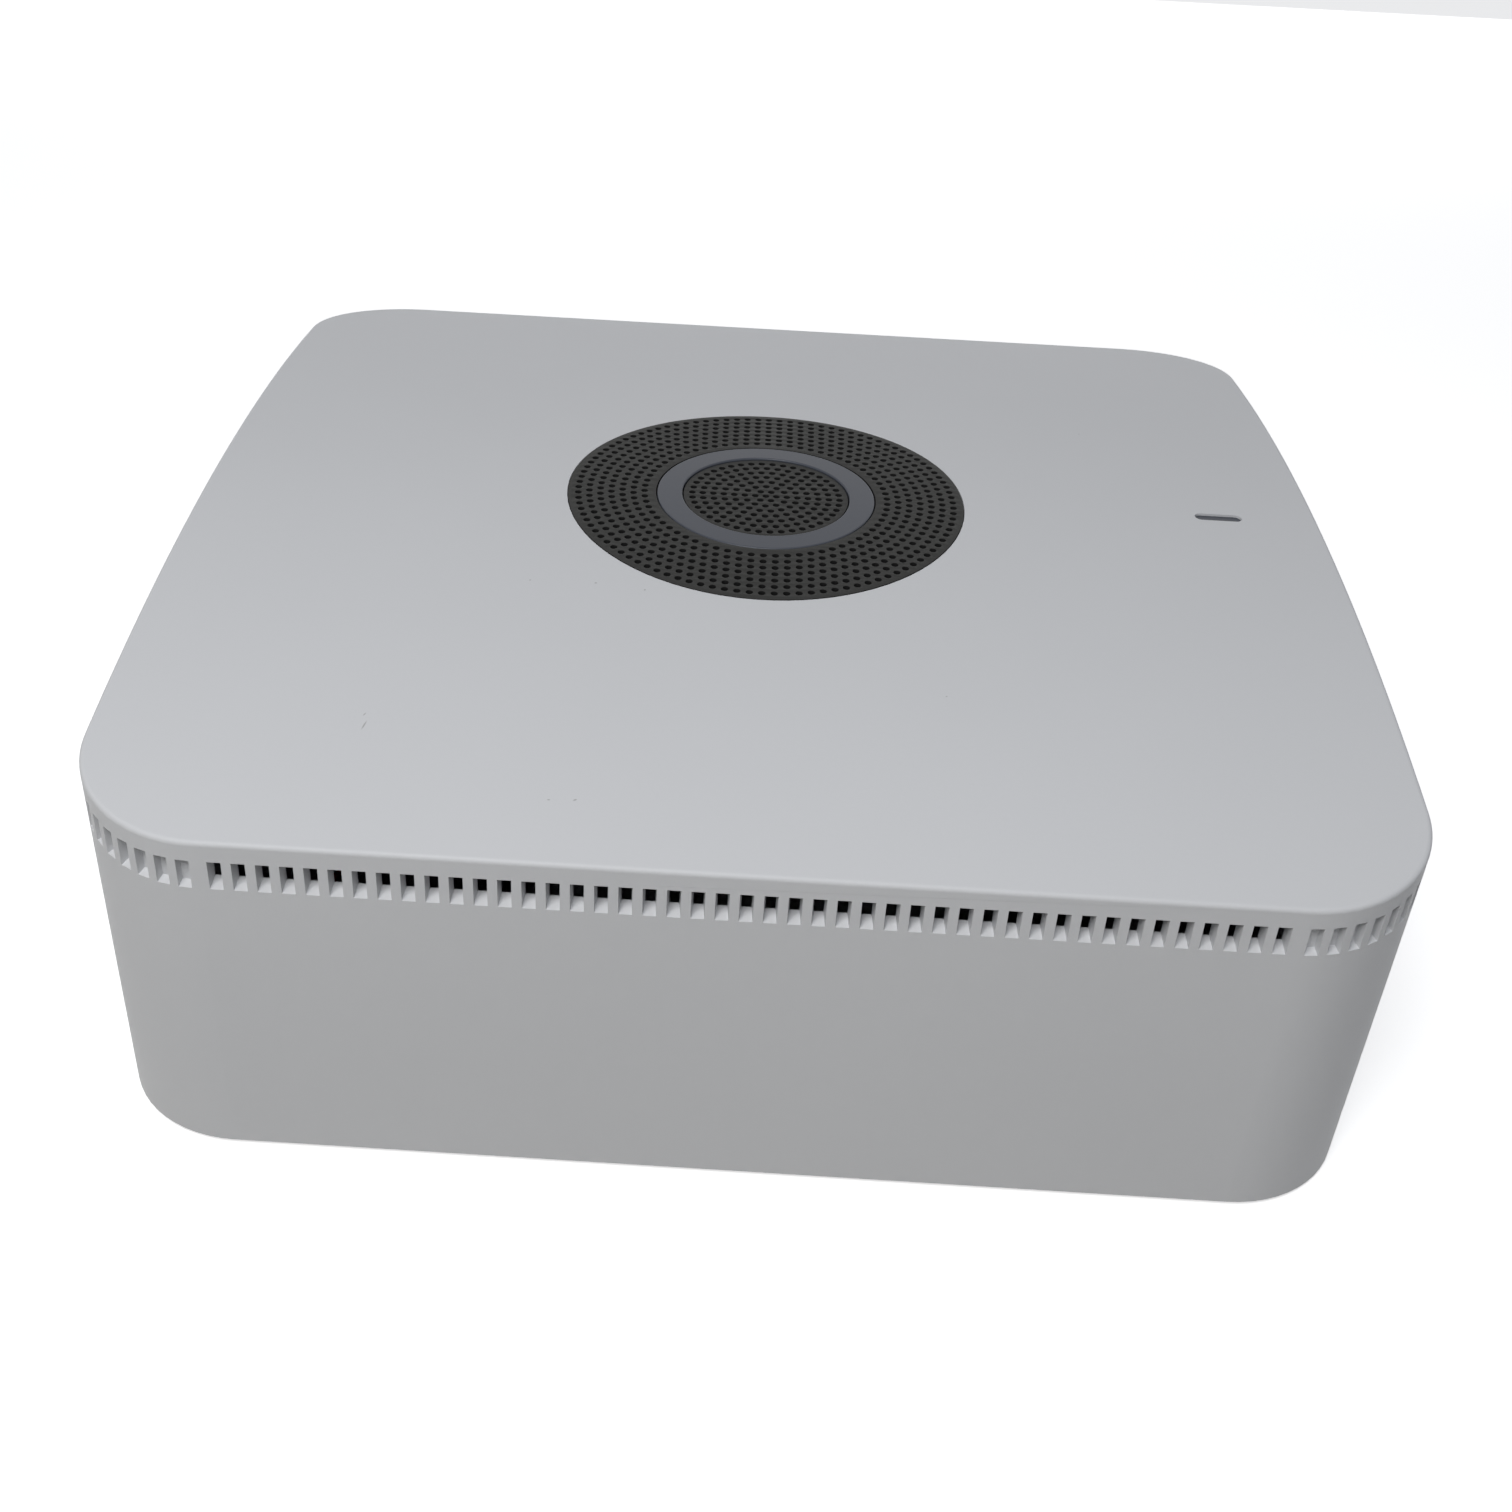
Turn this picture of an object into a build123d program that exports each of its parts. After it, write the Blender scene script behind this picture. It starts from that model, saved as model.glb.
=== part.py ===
from build123d import *
import math
import os

# Alarm base station: a square white housing with a crowned top, a round speaker grille with a light ring,
# a row of vents round the walls, and the boards, speaker, siren and battery that it holds.
# Millimetres. X runs left to right, +Y to the back, +Z up. The origin is the centre of the footprint on
# the surface that the feet stand on.

# Housing
width = 210.0              # left to right, at the top
depth = 210.0              # front to back, at the top
corner_radius = 22.3
draft = 0.55               # degrees that the walls lean out towards the top
edge_height = 62.9         # skirt's lower edge to the top edge, at the front and the back
crown = 9.2                # rise of the top from the front edge to the middle
wall = 2.5
top_edge_round = 0.8
foot_stand = 1.0           # skirt's lower edge above the surface
past = 1.0                 # how far a cutter runs past what it cuts

# Vent row under the top edge
vent_pitch = 3.62
vent_width = 2.1
vent_height = 5.2
vent_drop = 3.5            # top edge down to the top of a vent
vent_inner_width = 1.55    # width where it breaks through the wall
vent_floor_rise = 0.9      # rise of its floor through the wall
blind_vent_depth = 1.5     # vents round the corners are pockets

# Speaker grille and light ring
grille_radius = 37.5
grille_seat = 2.3          # underside of both grilles, below the housing's top
annulus_stand = 0.1        # outer grille's face above the housing's top
centre_sink = 0.2          # small disc's face below the housing's top
grille_gap = 0.15          # play between the grille and the housing
hole_diameter = 1.2
holes_added_per_ring = 6
annulus_ring_pitch = 2.085
annulus_first_count = 66
annulus_hole_turn = 90.0   # degrees from +X to the first hole of each ring
annulus_inner_margin = 1.6  # plate between the light ring and the annulus's first holes
annulus_outer_margin = 1.2  # least plate outside the annulus's last holes
centre_ring_pitch = 2.0
centre_margin = 0.8         # least plate outside the small disc's last holes
ring_inner_radius = 15.85
ring_outer_radius = 20.65
ring_stand = 0.15          # light ring above the housing's top
ring_edge_round = 0.3
ring_gap = 0.2             # groove on each side of the light ring
ring_length = 5.3          # light ring's depth, from the housing's top
ring_flange = 1.3          # step under each grille that carries it
ledge_width = 1.1          # housing's seat under the grille
seat_wall = 3.0            # wall of the seat's collar round the grille
seat_depth = 6.5           # collar's lower face, below the housing's top
cloth_thickness = 0.3

# Status light
slot_inset = 19.0          # its middle from the housing's right side
slot_y = 1.5
slot_length = 8.7
slot_width = 2.4
slot_sink = 0.4
slot_gap = 0.08
pipe_length = 6.0
pipe_flange = 1.6
pipe_flange_thickness = 1.0
pipe_flange_gap = 0.05     # glue line between the flange and the roof
status_board_gap = 1.2     # light pipe down to the board under it
status_board_thickness = 1.0
status_board_margin = 3.0  # board past the slot at each end
status_board_corner = 1.0
status_led_count = 3

# Light ring's board and its carrier
reflector_wall = 0.8
reflector_depth = 3.3
led_board_thickness = 1.2
led_count = 24
led_size = 1.8
led_height = 0.7
led_play = 0.3
carrier_thickness = 2.0
tray_inner_margin = 1.45   # tray past the light ring, inwards
tray_outer_margin = 2.35   # tray past the light ring, outwards
led_board_margin = 0.6     # tray past the board on it
led_board_tab_margin = 1.0
led_board_tab_reach = 2.0  # rim's inner edge back to the end of the board's tab
carrier_spokes = 4
spoke_width = 5.0
spoke_overlap = 1.0
carrier_screw_count = 4
carrier_screw_offset = 6.0  # screws outside the speaker
carrier_rim_margin = 3.9   # rim past its screws
boss_height = 2.4          # speaker screws' bosses above the carrier
post_radius = 3.2

# Speaker
gasket_thickness = 1.0
speaker_flange = 1.5
speaker_lip = 2.8          # flange past its screws
speaker_screw_gap = 0.1    # basket's wall to a screw's head
speaker_screw_count = 4
speaker_screw_turn = 45.0  # degrees from +X to the first screw
basket_inner_radius = 30.6
basket_depth = 14.0
basket_collar = 5.0        # straight part under the flange
basket_foot_radius = 17.0
basket_wall = 1.2
basket_floor_lip = 3.0     # floor's hole outside the voice coil
basket_windows = 4
window_width = 13.0
window_inset = 2.5         # outside the foot
window_sill = 3.0          # above the floor
window_reach = 6.0
magnet_radius = 19.0
magnet_height = 11.0
magnet_plate = 2.5         # steel plate above and below the magnet
magnet_groove = 0.5        # height of the groove between a plate and the magnet
magnet_groove_depth = 1.2
coil_gap = 0.5             # room on each side of the voice coil in the magnet
coil_radius = 9.6
coil_wall = 0.5
coil_length = 7.0
cone_outer_radius = 26.0
cone_wall = 0.6
cone_depth = 7.5
dust_cap_radius = 11.0
dust_cap_rise = 2.6
cap_skirt = 0.3
cone_travel = 1.0
cone_sink = 1.6            # cone's rim below the flange, apart from its travel
terminal_width = 10.0
terminal_reach = 3.9       # terminal block outside the basket's mouth
spider_radius = 18.6
spider_thickness = 0.4
spider_rise = 2.2          # above the basket's floor
surround_lip = 0.6
surround_clearance = 0.2

# Base plate
base_gap = 0.2             # play between the base plate and the skirt
base_recess = 0.6          # base plate above the skirt's lower edge
base_thickness = 2.5
base_rim_height = 5.0
base_rim_wall = 1.6
rim_merge = 0.2            # rim sunk into the plate
rim_pillar_gap = 0.4
rim_panel_gap = 1.0        # rim's end beside the port panel
rim_bay_gap = 2.0          # rim in front of the port panel
foot_radius = 9.0
foot_seat = 0.8            # depth of the recess that a foot is stuck in
foot_play = 0.15
foot_chamfer = 0.5
foot_side_inset = 43.0     # from the housing's side to the middle of a foot
foot_front_inset = 29.0
base_screw_inset = 17.0    # from the housing's side and front
pillar_radius = 4.5

# Screws
screw_radius = 1.5
screw_hole_play = 0.1
screw_pass_play = 0.2
screw_head_radius = 2.9
screw_head_height = 1.5
screw_head_round = 0.675
base_screw_length = 11.0
screw_hole_spare = 1.0     # screw hole past the screw's tip
base_screw_sink = 1.5      # counterbore under the base plate
short_screw_length = 6.0
socket_radius = 1.1
socket_depth = 1.0

# Wall-mounting keyholes in the base plate
keyhole_spacing = 100.0
keyhole_y = 32.0
keyhole_entry_radius = 4.5
keyhole_slot_radius = 2.2
keyhole_slot_length = 9.0

# Battery, its pocket and its door
battery_length = 70.0
battery_depth = 37.5
battery_height = 18.6
battery_edge_round = 5.0
battery_play = 1.0
battery_inset = 22.25      # housing's front to the battery
pocket_wall = 1.6
door_thickness = 2.0
door_margin = 4.0          # door past the pocket on each side
door_frame = 2.0           # base plate's thickened frame past the door
door_frame_height = 1.6    # frame above the door
door_seat_gap = 0.1
door_gap = 0.35
door_grip_radius = 7.0
door_grip_depth = 0.8
door_grip_inset = 2.0      # grip behind the door's front edge
grip_rib_pitch = 3.0
grip_rib_width = 0.8
grip_rib_height = 1.0
grip_rib_sink = 0.2
door_corner = 4.0
hook_width = 8.0
hook_length = 3.0
hook_thickness = 1.2
hook_root = 1.5            # hook sunk into the door
hook_recess = 0.9          # slot for a hook behind the pocket's edge

# Blank rating plate
plate_length = 60.0
plate_width = 28.0
plate_thickness = 0.3
plate_sink = 0.4
plate_inset = 13.0         # from the housing's rear
plate_corner = 2.0
plate_gap = 0.3

# Main board
board_bottom = 12.0        # above the surface that the feet stand on
board_thickness = 1.6
board_width = 156.0
board_front_gap = 10.65    # battery pocket to the board
board_corner = 3.0
board_edge_gap = 1.2       # board's rear edge to the port panel
board_screw_side_inset = 6.0
board_screw_front_inset = 8.0
board_screw_rear_inset = 36.4
standoff_radius = 3.5

# Port panel and its bay in the rear wall
bay_width = 124.0
bay_bottom = 9.0
bay_height = 24.0
bay_corner = 3.0
panel_thickness = 2.0
panel_margin = 4.0
panel_gap = 0.2
port_play = 0.2
contact_inset = 2.0        # port panel's face to a jack's contacts

jack_xs = (-24.0, -2.0)
jack_width = 16.0
jack_length = 21.3
jack_height = 13.5
jack_socket_width = 11.8
jack_socket_height = 8.4
jack_socket_depth = 13.5
jack_socket_sill = 2.6
jack_latch_width = 6.4
jack_latch_height = 1.5
contact_count = 8
contact_pitch = 1.02
contact_thickness = 0.35
contact_drop = 0.8
contact_length = 9.0

inlet_x = -47.0
inlet_width = 9.0
inlet_length = 14.0
inlet_height = 11.0
inlet_bore_radius = 3.2
inlet_bore_depth = 9.5
inlet_pin_radius = 1.0
inlet_pin_inset = 1.0
inlet_pin_round = 0.6

card_x = 49.0
card_width = 11.0
card_length = 15.0
card_thickness = 0.8
card_play = 0.3
card_slot_wall = 0.4
card_slot_width = 13.2
card_slot_length = 14.2
card_slot_gap = 1.5        # slot behind the port panel
card_slot_stop = 1.0       # thickness of the slot's end wall
card_notch_width = 1.3
card_notch_length = 6.0
card_ridge_width = 7.0
card_ridge_depth = 0.7
card_ridge_inset = 0.7
card_ridge_height = 0.25
card_mouth_height = 2.4
card_mouth_play = 1.0

setup_x = 19.0
setup_cap_radius = 4.5
setup_stand = 0.8
setup_stem_radius = 1.8
setup_travel = 0.5
setup_edge_round = 0.4
setup_cap_root = 2.0       # cap behind the port panel
setup_stem_gap = 1.2       # stem's tip to the switch's face
reset_x = 33.0
reset_travel = 0.3
pinhole_radius = 1.0
button_height = 6.0        # centre of the buttons above the board
button_gap = 0.25
button_flange = 1.2
button_flange_thickness = 1.0
button_body = 6.2
button_body_depth = 3.6
plunger_radius = 1.7
plunger_play = 0.1
plunger_well = 2.4         # depth of the hole that a plunger slides in
plunger_stand = 1.2        # plunger's tip above the switch's face
plunger_floor_gap = 0.1    # left under a plunger that is pressed home
switch_back_gap = 6.0      # port panel to the face of a switch

# Chips, cans and cooling
processor_size = 25.0
processor_height = 1.8
processor_inset = 54.0     # from the board's front edge to its middle
pad_thickness = 1.0
sink_width = 68.0
sink_depth = 60.0
sink_base = 3.0
sink_height = 12.0
fin_thickness = 1.4
fin_count = 14
fin_root = 0.1
sink_leg_radius = 2.0
sink_leg_inset = 4.0
sink_leg_root = 0.5
can_width = 26.0
can_depth = 20.0
can_height = 3.0
can_wall = 0.4
can_x = 56.0
can_front_inset = 24.0     # board's front edge to the middle of the front cans
can_row_pitch = 30.0       # front cans to the rear cans
cell_width = 30.0
cell_depth = 24.0
cell_board = 1.0
cell_can = 2.0
cell_can_margin = 1.5
cell_plug_edge = 4.0       # bare rear edge that takes the antenna plugs
memory_xs = (-20.0, -2.0)
memory_inset = 14.0
memory_width = 13.0
memory_depth = 9.0
memory_height = 1.1
capacitor_xs = (-62.0, -52.0, -42.0)
capacitor_inset = 32.4     # from the board's rear edge
capacitor_round = 0.6
capacitor_radius = 4.0
capacitor_height = 12.0
sim_x = 24.0
sim_inset = 12.0
sim_width = 12.3
sim_depth = 8.8
sim_thickness = 0.7
sim_holder_wall = 0.8
sim_play = 0.1
sim_window_width = 8.0
sim_window_reach = 2.0     # window past the middle of the card

# Siren
siren_side_inset = 31.0    # from the housing's left side
siren_front_inset = 37.0
siren_radius = 15.0
siren_height = 11.0
siren_wall = 1.2
siren_edge_round = 1.0
siren_disc_thickness = 0.4
siren_disc_rise = 3.0      # above the cup's floor
siren_port_radius = 3.0
siren_saddle = 2.0         # width of the saddle's wall
siren_saddle_height = 1.0
siren_gap = 0.2

# Antennas and leads
antenna_length = 42.0
antenna_height = 14.0
antenna_thickness = 0.8
antenna_z = 34.0
antenna_rear_y = 20.0
antenna_front_y = -40.0
antenna_glue = 0.1
coax_radius = 0.6
coax_bend = 4.0
coax_height = 1.5          # above the board
coax_wall_gap = 1.0        # wall's inner face to a lead
coax_start_x = -15.0       # on the antenna in front
coax_side_step = 12.0      # inside the middle of the left cans, past the battery
coax_front_step = 5.0
coax_front_rise = 4.0
coax_end_run = 10.0
wire_radius = 0.8
wire_pitch = 2.0
wire_bend = 2.0
ribbon_width = 8.0
ribbon_thickness = 0.3
ribbon_x = 14.0
ribbon_gap = 3.0           # heat sink to the ribbon's plug
ribbon_bend = 4.0
ribbon_plug_margin = 1.0
plug_width = 8.0
plug_depth = 5.0
plug_height = 5.0
plug_inset = 1.0           # board's front edge to the face that the wires enter
battery_plug_x = 30.0
speaker_plug_x = -24.0
siren_plug_x = -60.0
lead_notch = 6.0           # height of the notch for the battery's lead
lead_notch_drop = 3.0      # top of the pocket to the battery's lead
battery_lead_run = 6.0
battery_lead_end = 4.5
speaker_lead_inset = 1.3
speaker_lead_drop = 14.0
speaker_lead_end = 6.0
speaker_lead_rise = 8.0
siren_lead_offset = 8.0
siren_lead_rise = 6.0
siren_lead_run = 9.0
siren_lead_end = 5.0

# Worked out from the sizes above
lean = math.tan(math.radians(draft))
skirt_z = foot_stand
top_z = skirt_z + edge_height + crown
crown_radius = ((depth / 2) ** 2 + crown ** 2) / (2 * crown)
base_bottom = skirt_z + base_recess
base_top = base_bottom + base_thickness
board_top = board_bottom + board_thickness
panel_front_y = depth / 2 - wall - lean * (top_z - base_top) - panel_gap
panel_back_y = panel_front_y - panel_thickness
board_rear_y = panel_back_y - board_edge_gap
button_z = board_top + button_height
carrier_top = top_z - ring_length - reflector_depth - led_board_thickness
carrier_bottom = carrier_top - carrier_thickness
speaker_top = carrier_bottom - gasket_thickness
flange_bottom = speaker_top - speaker_flange
basket_bottom = flange_bottom - basket_depth
rim_top = base_top + base_rim_height
seat_outer_radius = grille_radius + grille_gap + seat_wall
roof_round_z = top_z - crown_radius      # axis of the crowned top

slot_x = width / 2 - slot_inset
status_board_top = top_z - pipe_length - status_board_gap
status_post_y = slot_width / 2 + pipe_flange + post_radius

annulus_first_radius = ring_outer_radius + ring_gap + annulus_inner_margin + hole_diameter / 2
annulus_last_radius = grille_radius - annulus_outer_margin - hole_diameter / 2
annulus_rings = 1 + int((annulus_last_radius - annulus_first_radius) / annulus_ring_pitch)
centre_last_radius = ring_inner_radius - ring_gap - centre_margin - hole_diameter / 2
centre_rings = int(centre_last_radius / centre_ring_pitch)

speaker_screw_circle = basket_inner_radius + basket_wall + screw_head_radius + speaker_screw_gap
speaker_radius = speaker_screw_circle + speaker_lip
carrier_inner_radius = ring_inner_radius - tray_inner_margin
carrier_tray_radius = ring_outer_radius + tray_outer_margin
carrier_screw_circle = speaker_radius + carrier_screw_offset
carrier_rim_radius = carrier_screw_circle + carrier_rim_margin
basket_knee = flange_bottom - basket_collar
terminal_y = -basket_inner_radius - terminal_reach
cone_top = speaker_top - cone_travel - cone_sink
cone_throat = cone_top - cone_depth

base_screw_x = width / 2 - base_screw_inset
base_screw_y = depth / 2 - base_screw_inset
foot_x = width / 2 - foot_side_inset
foot_y = depth / 2 - foot_front_inset
plate_y = depth / 2 - plate_inset - plate_width / 2
battery_y = -depth / 2 + battery_inset + battery_depth / 2
battery_rear_y = battery_y + battery_depth / 2
pocket_rear_y = battery_rear_y + battery_play
pocket_top = base_bottom + door_thickness + battery_height + 2 * battery_play
door_hook_x = battery_length / 4
siren_x = -width / 2 + siren_side_inset
siren_y = -depth / 2 + siren_front_inset

board_front_y = pocket_rear_y + pocket_wall + board_front_gap
board_screw_x = board_width / 2 - board_screw_side_inset
board_screw_front_y = board_front_y + board_screw_front_inset
board_screw_rear_y = board_rear_y - board_screw_rear_inset
board_screw_places = [(x, y) for x in (-board_screw_x, board_screw_x)
                      for y in (board_screw_front_y, board_screw_rear_y)]
front_cans_y = board_front_y + can_front_inset
rear_cans_y = front_cans_y + can_row_pitch
can_places = ((-can_x, rear_cans_y), (can_x, rear_cans_y), (-can_x, front_cans_y))
processor_y = board_front_y + processor_inset
memory_y = board_front_y + memory_inset
sim_y = board_front_y + sim_inset
capacitor_y = board_rear_y - capacitor_inset
ribbon_y = processor_y + sink_depth / 2 + ribbon_gap
plug_y = board_front_y + plug_inset
plug_xs = (battery_plug_x, speaker_plug_x, siren_plug_x)
wire_z = board_top + plug_height / 2
switch_face_y = panel_back_y - switch_back_gap
card_slot_rear_y = panel_back_y - card_slot_gap
card_slot_front_y = card_slot_rear_y - card_slot_length


def crown_z(y, inset=0.0):
    """Height of the crowned top at y, for the surface that lies inset below it."""
    return roof_round_z + math.sqrt((crown_radius - inset) ** 2 - y ** 2)


def vault(inset):
    """Everything below the crowned top, for the surface that lies inset below it."""
    return Pos(0, 0, roof_round_z) * Cylinder(crown_radius - inset, width * 2, rotation=(0, 90, 0))


def drafted_block(inset, bottom, top):
    """Block with the housing's rounded plan, moved in by inset, whose walls lean out upwards."""
    side = inset + lean * (top_z - bottom)
    plan = RectangleRounded(width - 2 * side, depth - 2 * side, corner_radius - side)
    return extrude(Pos(0, 0, bottom) * plan, top - bottom, taper=-draft)


def disc(radius, bottom, top, x=0.0, y=0.0):
    return Pos(x, y, bottom) * Cylinder(radius, top - bottom, align=(Align.CENTER, Align.CENTER, Align.MIN))


def ring(inner, outer, bottom, top, x=0.0, y=0.0):
    return disc(outer, bottom, top, x, y) - disc(inner, bottom - past, top + past, x, y)


def block(x0, x1, y0, y1, z0, z1):
    return Pos((x0 + x1) / 2, (y0 + y1) / 2, (z0 + z1) / 2) * Box(x1 - x0, y1 - y0, z1 - z0)


def slab(x, y, length, breadth, bottom, top):
    """Block centred on x and y."""
    return block(x - length / 2, x + length / 2, y - breadth / 2, y + breadth / 2, bottom, top)


def rounded_block(x, y, length, breadth, radius, bottom, top):
    return extrude(Pos(x, y, bottom) * RectangleRounded(length, breadth, radius), top - bottom)


def rear_disc(radius, x, z, y0, y1):
    """Round bar along Y."""
    return Pos(x, (y0 + y1) / 2, z) * Cylinder(radius, y1 - y0, rotation=(90, 0, 0))


def on_circle(radius, count, start=0.0):
    turns = [math.radians(start + 360.0 * i / count) for i in range(count)]
    return [(radius * math.cos(a), radius * math.sin(a)) for a in turns]


def corners(x, y):
    return [(sx * x, sy * y) for sx in (-1, 1) for sy in (-1, 1)]


def screw(x, y, head_z, length, upwards):
    """Self-tapping screw whose head's inner face is at head_z, driven upwards or downwards."""
    shank = Cylinder(screw_radius, length, align=(Align.CENTER, Align.CENTER, Align.MIN))
    head = Cylinder(screw_head_radius, screw_head_height, align=(Align.CENTER, Align.CENTER, Align.MAX))
    head = fillet(head.edges().filter_by(GeomType.CIRCLE).sort_by(Axis.Z)[0], screw_head_round)
    socket = extrude(Pos(0, 0, -screw_head_height) * RegularPolygon(socket_radius, 6), socket_depth)
    body = shank + head - socket
    return Pos(x, y, head_z) * (body if upwards else Rot(180, 0, 0) * body)


def lead(points, radius, bend):
    """Round lead along straight runs joined by arcs."""
    path = FilletPolyline(*points, radius=bend) if len(points) > 2 else Polyline(*points)
    start = Plane(origin=path @ 0, z_dir=path % 0)
    return sweep(start * Circle(radius), path=path)


def wall_places():
    """Vents round the walls: x, y, outward angle in degrees, and whether the vent goes through."""
    half_x, half_y = width / 2, depth / 2
    inner_x, inner_y = half_x - corner_radius, half_y - corner_radius
    places = []
    front_and_back = [(inner_x, half_y, turn) for turn in (-90, 90)]
    sides = [(inner_y, half_x, turn) for turn in (0, 180)]
    for run, across, turn in front_and_back + sides:
        count = 2 * int(run / vent_pitch) + 1
        out_x, out_y = math.cos(math.radians(turn)), math.sin(math.radians(turn))
        for i in range(count):
            along = (i - (count - 1) / 2) * vent_pitch
            places.append((across * out_x - along * out_y, across * out_y + along * out_x, turn, True))
    corner_count = round(math.pi / 2 * corner_radius / vent_pitch)
    for turn, sx, sy in ((0, 1, 1), (90, -1, 1), (180, -1, -1), (270, 1, -1)):
        for i in range(corner_count):
            a = turn + 90 * (i + 0.5) / corner_count
            x = sx * inner_x + corner_radius * math.cos(math.radians(a))
            y = sy * inner_y + corner_radius * math.sin(math.radians(a))
            places.append((x, y, a, False))
    return places


def vent_tool(reach):
    """Cutter for one vent, pointing along -X from the wall's face, with its top at z = 0."""
    narrowing = (vent_width - vent_inner_width) / wall
    rise = vent_floor_rise / wall

    def section(inward):
        breadth = vent_width - narrowing * inward
        height = vent_height - rise * inward
        facing = Plane(origin=(-inward, 0, -height / 2), x_dir=(0, 1, 0), z_dir=(1, 0, 0))
        return facing * Rectangle(breadth, height)

    return loft([section(-past), section(reach)], ruled=True)


def make_top_cover():
    outer = drafted_block(0, skirt_z, top_z + past) & vault(0)
    crowned = outer.faces().sort_by(Axis.Z)[-1]
    outer = fillet(crowned.outer_wire().edges(), top_edge_round)
    inner = drafted_block(wall, skirt_z - past, top_z + past) & vault(wall)
    roof = vault(wall / 2)
    seat_hole = grille_radius - ledge_width
    added = [ring(seat_hole, seat_outer_radius, top_z - seat_depth, top_z) & roof]
    for x, y in on_circle(carrier_screw_circle, carrier_screw_count):
        added.append(disc(post_radius, carrier_top, top_z, x, y) & roof)
    for x, y in corners(base_screw_x, base_screw_y):
        added.append(disc(pillar_radius, base_top, top_z, x, y) & roof)
    for y in (slot_y - status_post_y, slot_y + status_post_y):
        added.append(disc(post_radius, status_board_top, top_z, slot_x, y) & roof)
    cover = (outer - inner).fuse(*added)
    recess = disc(grille_radius + grille_gap, carrier_top, top_z + past)
    cut = [recess - vault(grille_seat)]
    cut.append(disc(seat_hole, carrier_top, top_z + past))
    screw_hole = screw_radius + screw_hole_play
    for x, y in on_circle(carrier_screw_circle, carrier_screw_count):
        cut.append(disc(screw_hole, carrier_top - past, carrier_top + short_screw_length, x, y))
    for x, y in corners(base_screw_x, base_screw_y):
        cut.append(disc(screw_hole, base_top - past, base_top + base_screw_length + screw_hole_spare, x, y))
    cut.append(status_slot(slot_gap, top_z - pipe_length, top_z + past))
    bay_plan = Pos(0, bay_bottom + bay_height / 2) * RectangleRounded(bay_width, bay_height, bay_corner)
    cut.append(Pos(0, panel_back_y, 0) * extrude(Plane.XZ * bay_plan, -depth))
    through, blind = vent_tool(wall + past), vent_tool(blind_vent_depth)
    for x, y, angle, open_vent in wall_places():
        z = crown_z(y) - vent_drop
        inward = lean * (top_z - z + vent_height / 2)
        a = math.radians(angle)
        spot = Pos(x - inward * math.cos(a), y - inward * math.sin(a), z) * Rot(0, 0, angle)
        cut.append(spot * (through if open_vent else blind))
    return cover.cut(*cut)


def status_slot(grow, bottom, top):
    plan = Pos(slot_x, slot_y, bottom) * SlotOverall(slot_length + 2 * grow, slot_width + 2 * grow)
    return extrude(plan, top - bottom)


def perforate(plate, rings):
    """Plate with rings of round holes, each ring a radius, a count and where its first hole is."""
    tools = []
    for radius, count, turn in rings:
        for x, y in on_circle(radius, count, turn):
            tools.append(disc(hole_diameter / 2, carrier_top, top_z + past, x, y))
    return plate.cut(*tools)


def grille_plate(inner, outer, sink):
    """Crowned plate on the grilles' seat, whose face lies sink below the housing's top."""
    plate = (disc(outer, carrier_top, top_z + past) & vault(sink)) - vault(grille_seat)
    return plate - disc(inner, carrier_top - past, top_z + past) if inner > 0 else plate


def make_grille_outer():
    rings = [(annulus_first_radius + i * annulus_ring_pitch, annulus_first_count + holes_added_per_ring * i,
              annulus_hole_turn) for i in range(annulus_rings)]
    return perforate(grille_plate(ring_outer_radius + ring_gap, grille_radius, -annulus_stand), rings)


def make_grille_centre():
    rings = [(0.0, 1, 0.0)]
    rings += [(i * centre_ring_pitch, holes_added_per_ring * i, 0.0) for i in range(1, centre_rings + 1)]
    return perforate(grille_plate(0, ring_inner_radius - ring_gap, centre_sink), rings)


def make_light_ring():
    bottom = top_z - ring_length
    body = ring(ring_inner_radius, ring_outer_radius, bottom, top_z + past) & vault(-ring_stand)
    crowned = body.faces().sort_by(Axis.Z)[-1]
    body = fillet(crowned.edges(), ring_edge_round)
    step = ring(ring_inner_radius - ring_flange, ring_outer_radius + ring_flange, bottom, top_z)
    bore = ring(ring_inner_radius + ring_flange, ring_outer_radius - ring_flange, bottom - past, top_z + past)
    step -= bore
    return body + (step & vault(grille_seat))


def make_grille_cloth():
    outer = ring(ring_outer_radius + ring_flange + ring_gap, grille_radius - ledge_width - grille_gap,
                 carrier_top, top_z)
    centre = disc(ring_inner_radius - ring_flange - ring_gap, carrier_top, top_z)
    skin = vault(grille_seat) - vault(grille_seat + cloth_thickness)
    return [outer & skin, centre & skin]


def make_status_light_pipe():
    pipe = status_slot(0, top_z - pipe_length, top_z + past) & vault(slot_sink)
    under_roof = wall + pipe_flange_gap
    flange_bottom_z = crown_z(slot_y, under_roof) - pipe_flange_thickness
    flange = status_slot(pipe_flange, flange_bottom_z, top_z) & vault(under_roof)
    return pipe + flange


def make_status_board():
    length = slot_length + 2 * status_board_margin
    breadth = 2 * (status_post_y + post_radius)
    bottom = status_board_top - status_board_thickness
    board = rounded_block(slot_x, slot_y, length, breadth, status_board_corner, bottom, status_board_top)
    hole_ys = (slot_y - status_post_y, slot_y + status_post_y)
    holes = [disc(screw_radius, 0, top_z, slot_x, y) for y in hole_ys]
    return board.cut(*holes)


def make_status_leds():
    pitch = slot_length / status_led_count
    places = [slot_x + (i - (status_led_count - 1) / 2) * pitch for i in range(status_led_count)]
    top = status_board_top + led_height
    return [slab(x, slot_y, led_size, led_size, status_board_top, top) for x in places]


def led_spots(size, bottom, top):
    """Square blocks at the places of the light ring's lights."""
    middle = (ring_inner_radius + ring_outer_radius) / 2
    spot = slab(middle, 0, size, size, bottom, top)
    return [Rot(0, 0, 360.0 * i / led_count) * spot for i in range(led_count)]


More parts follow.
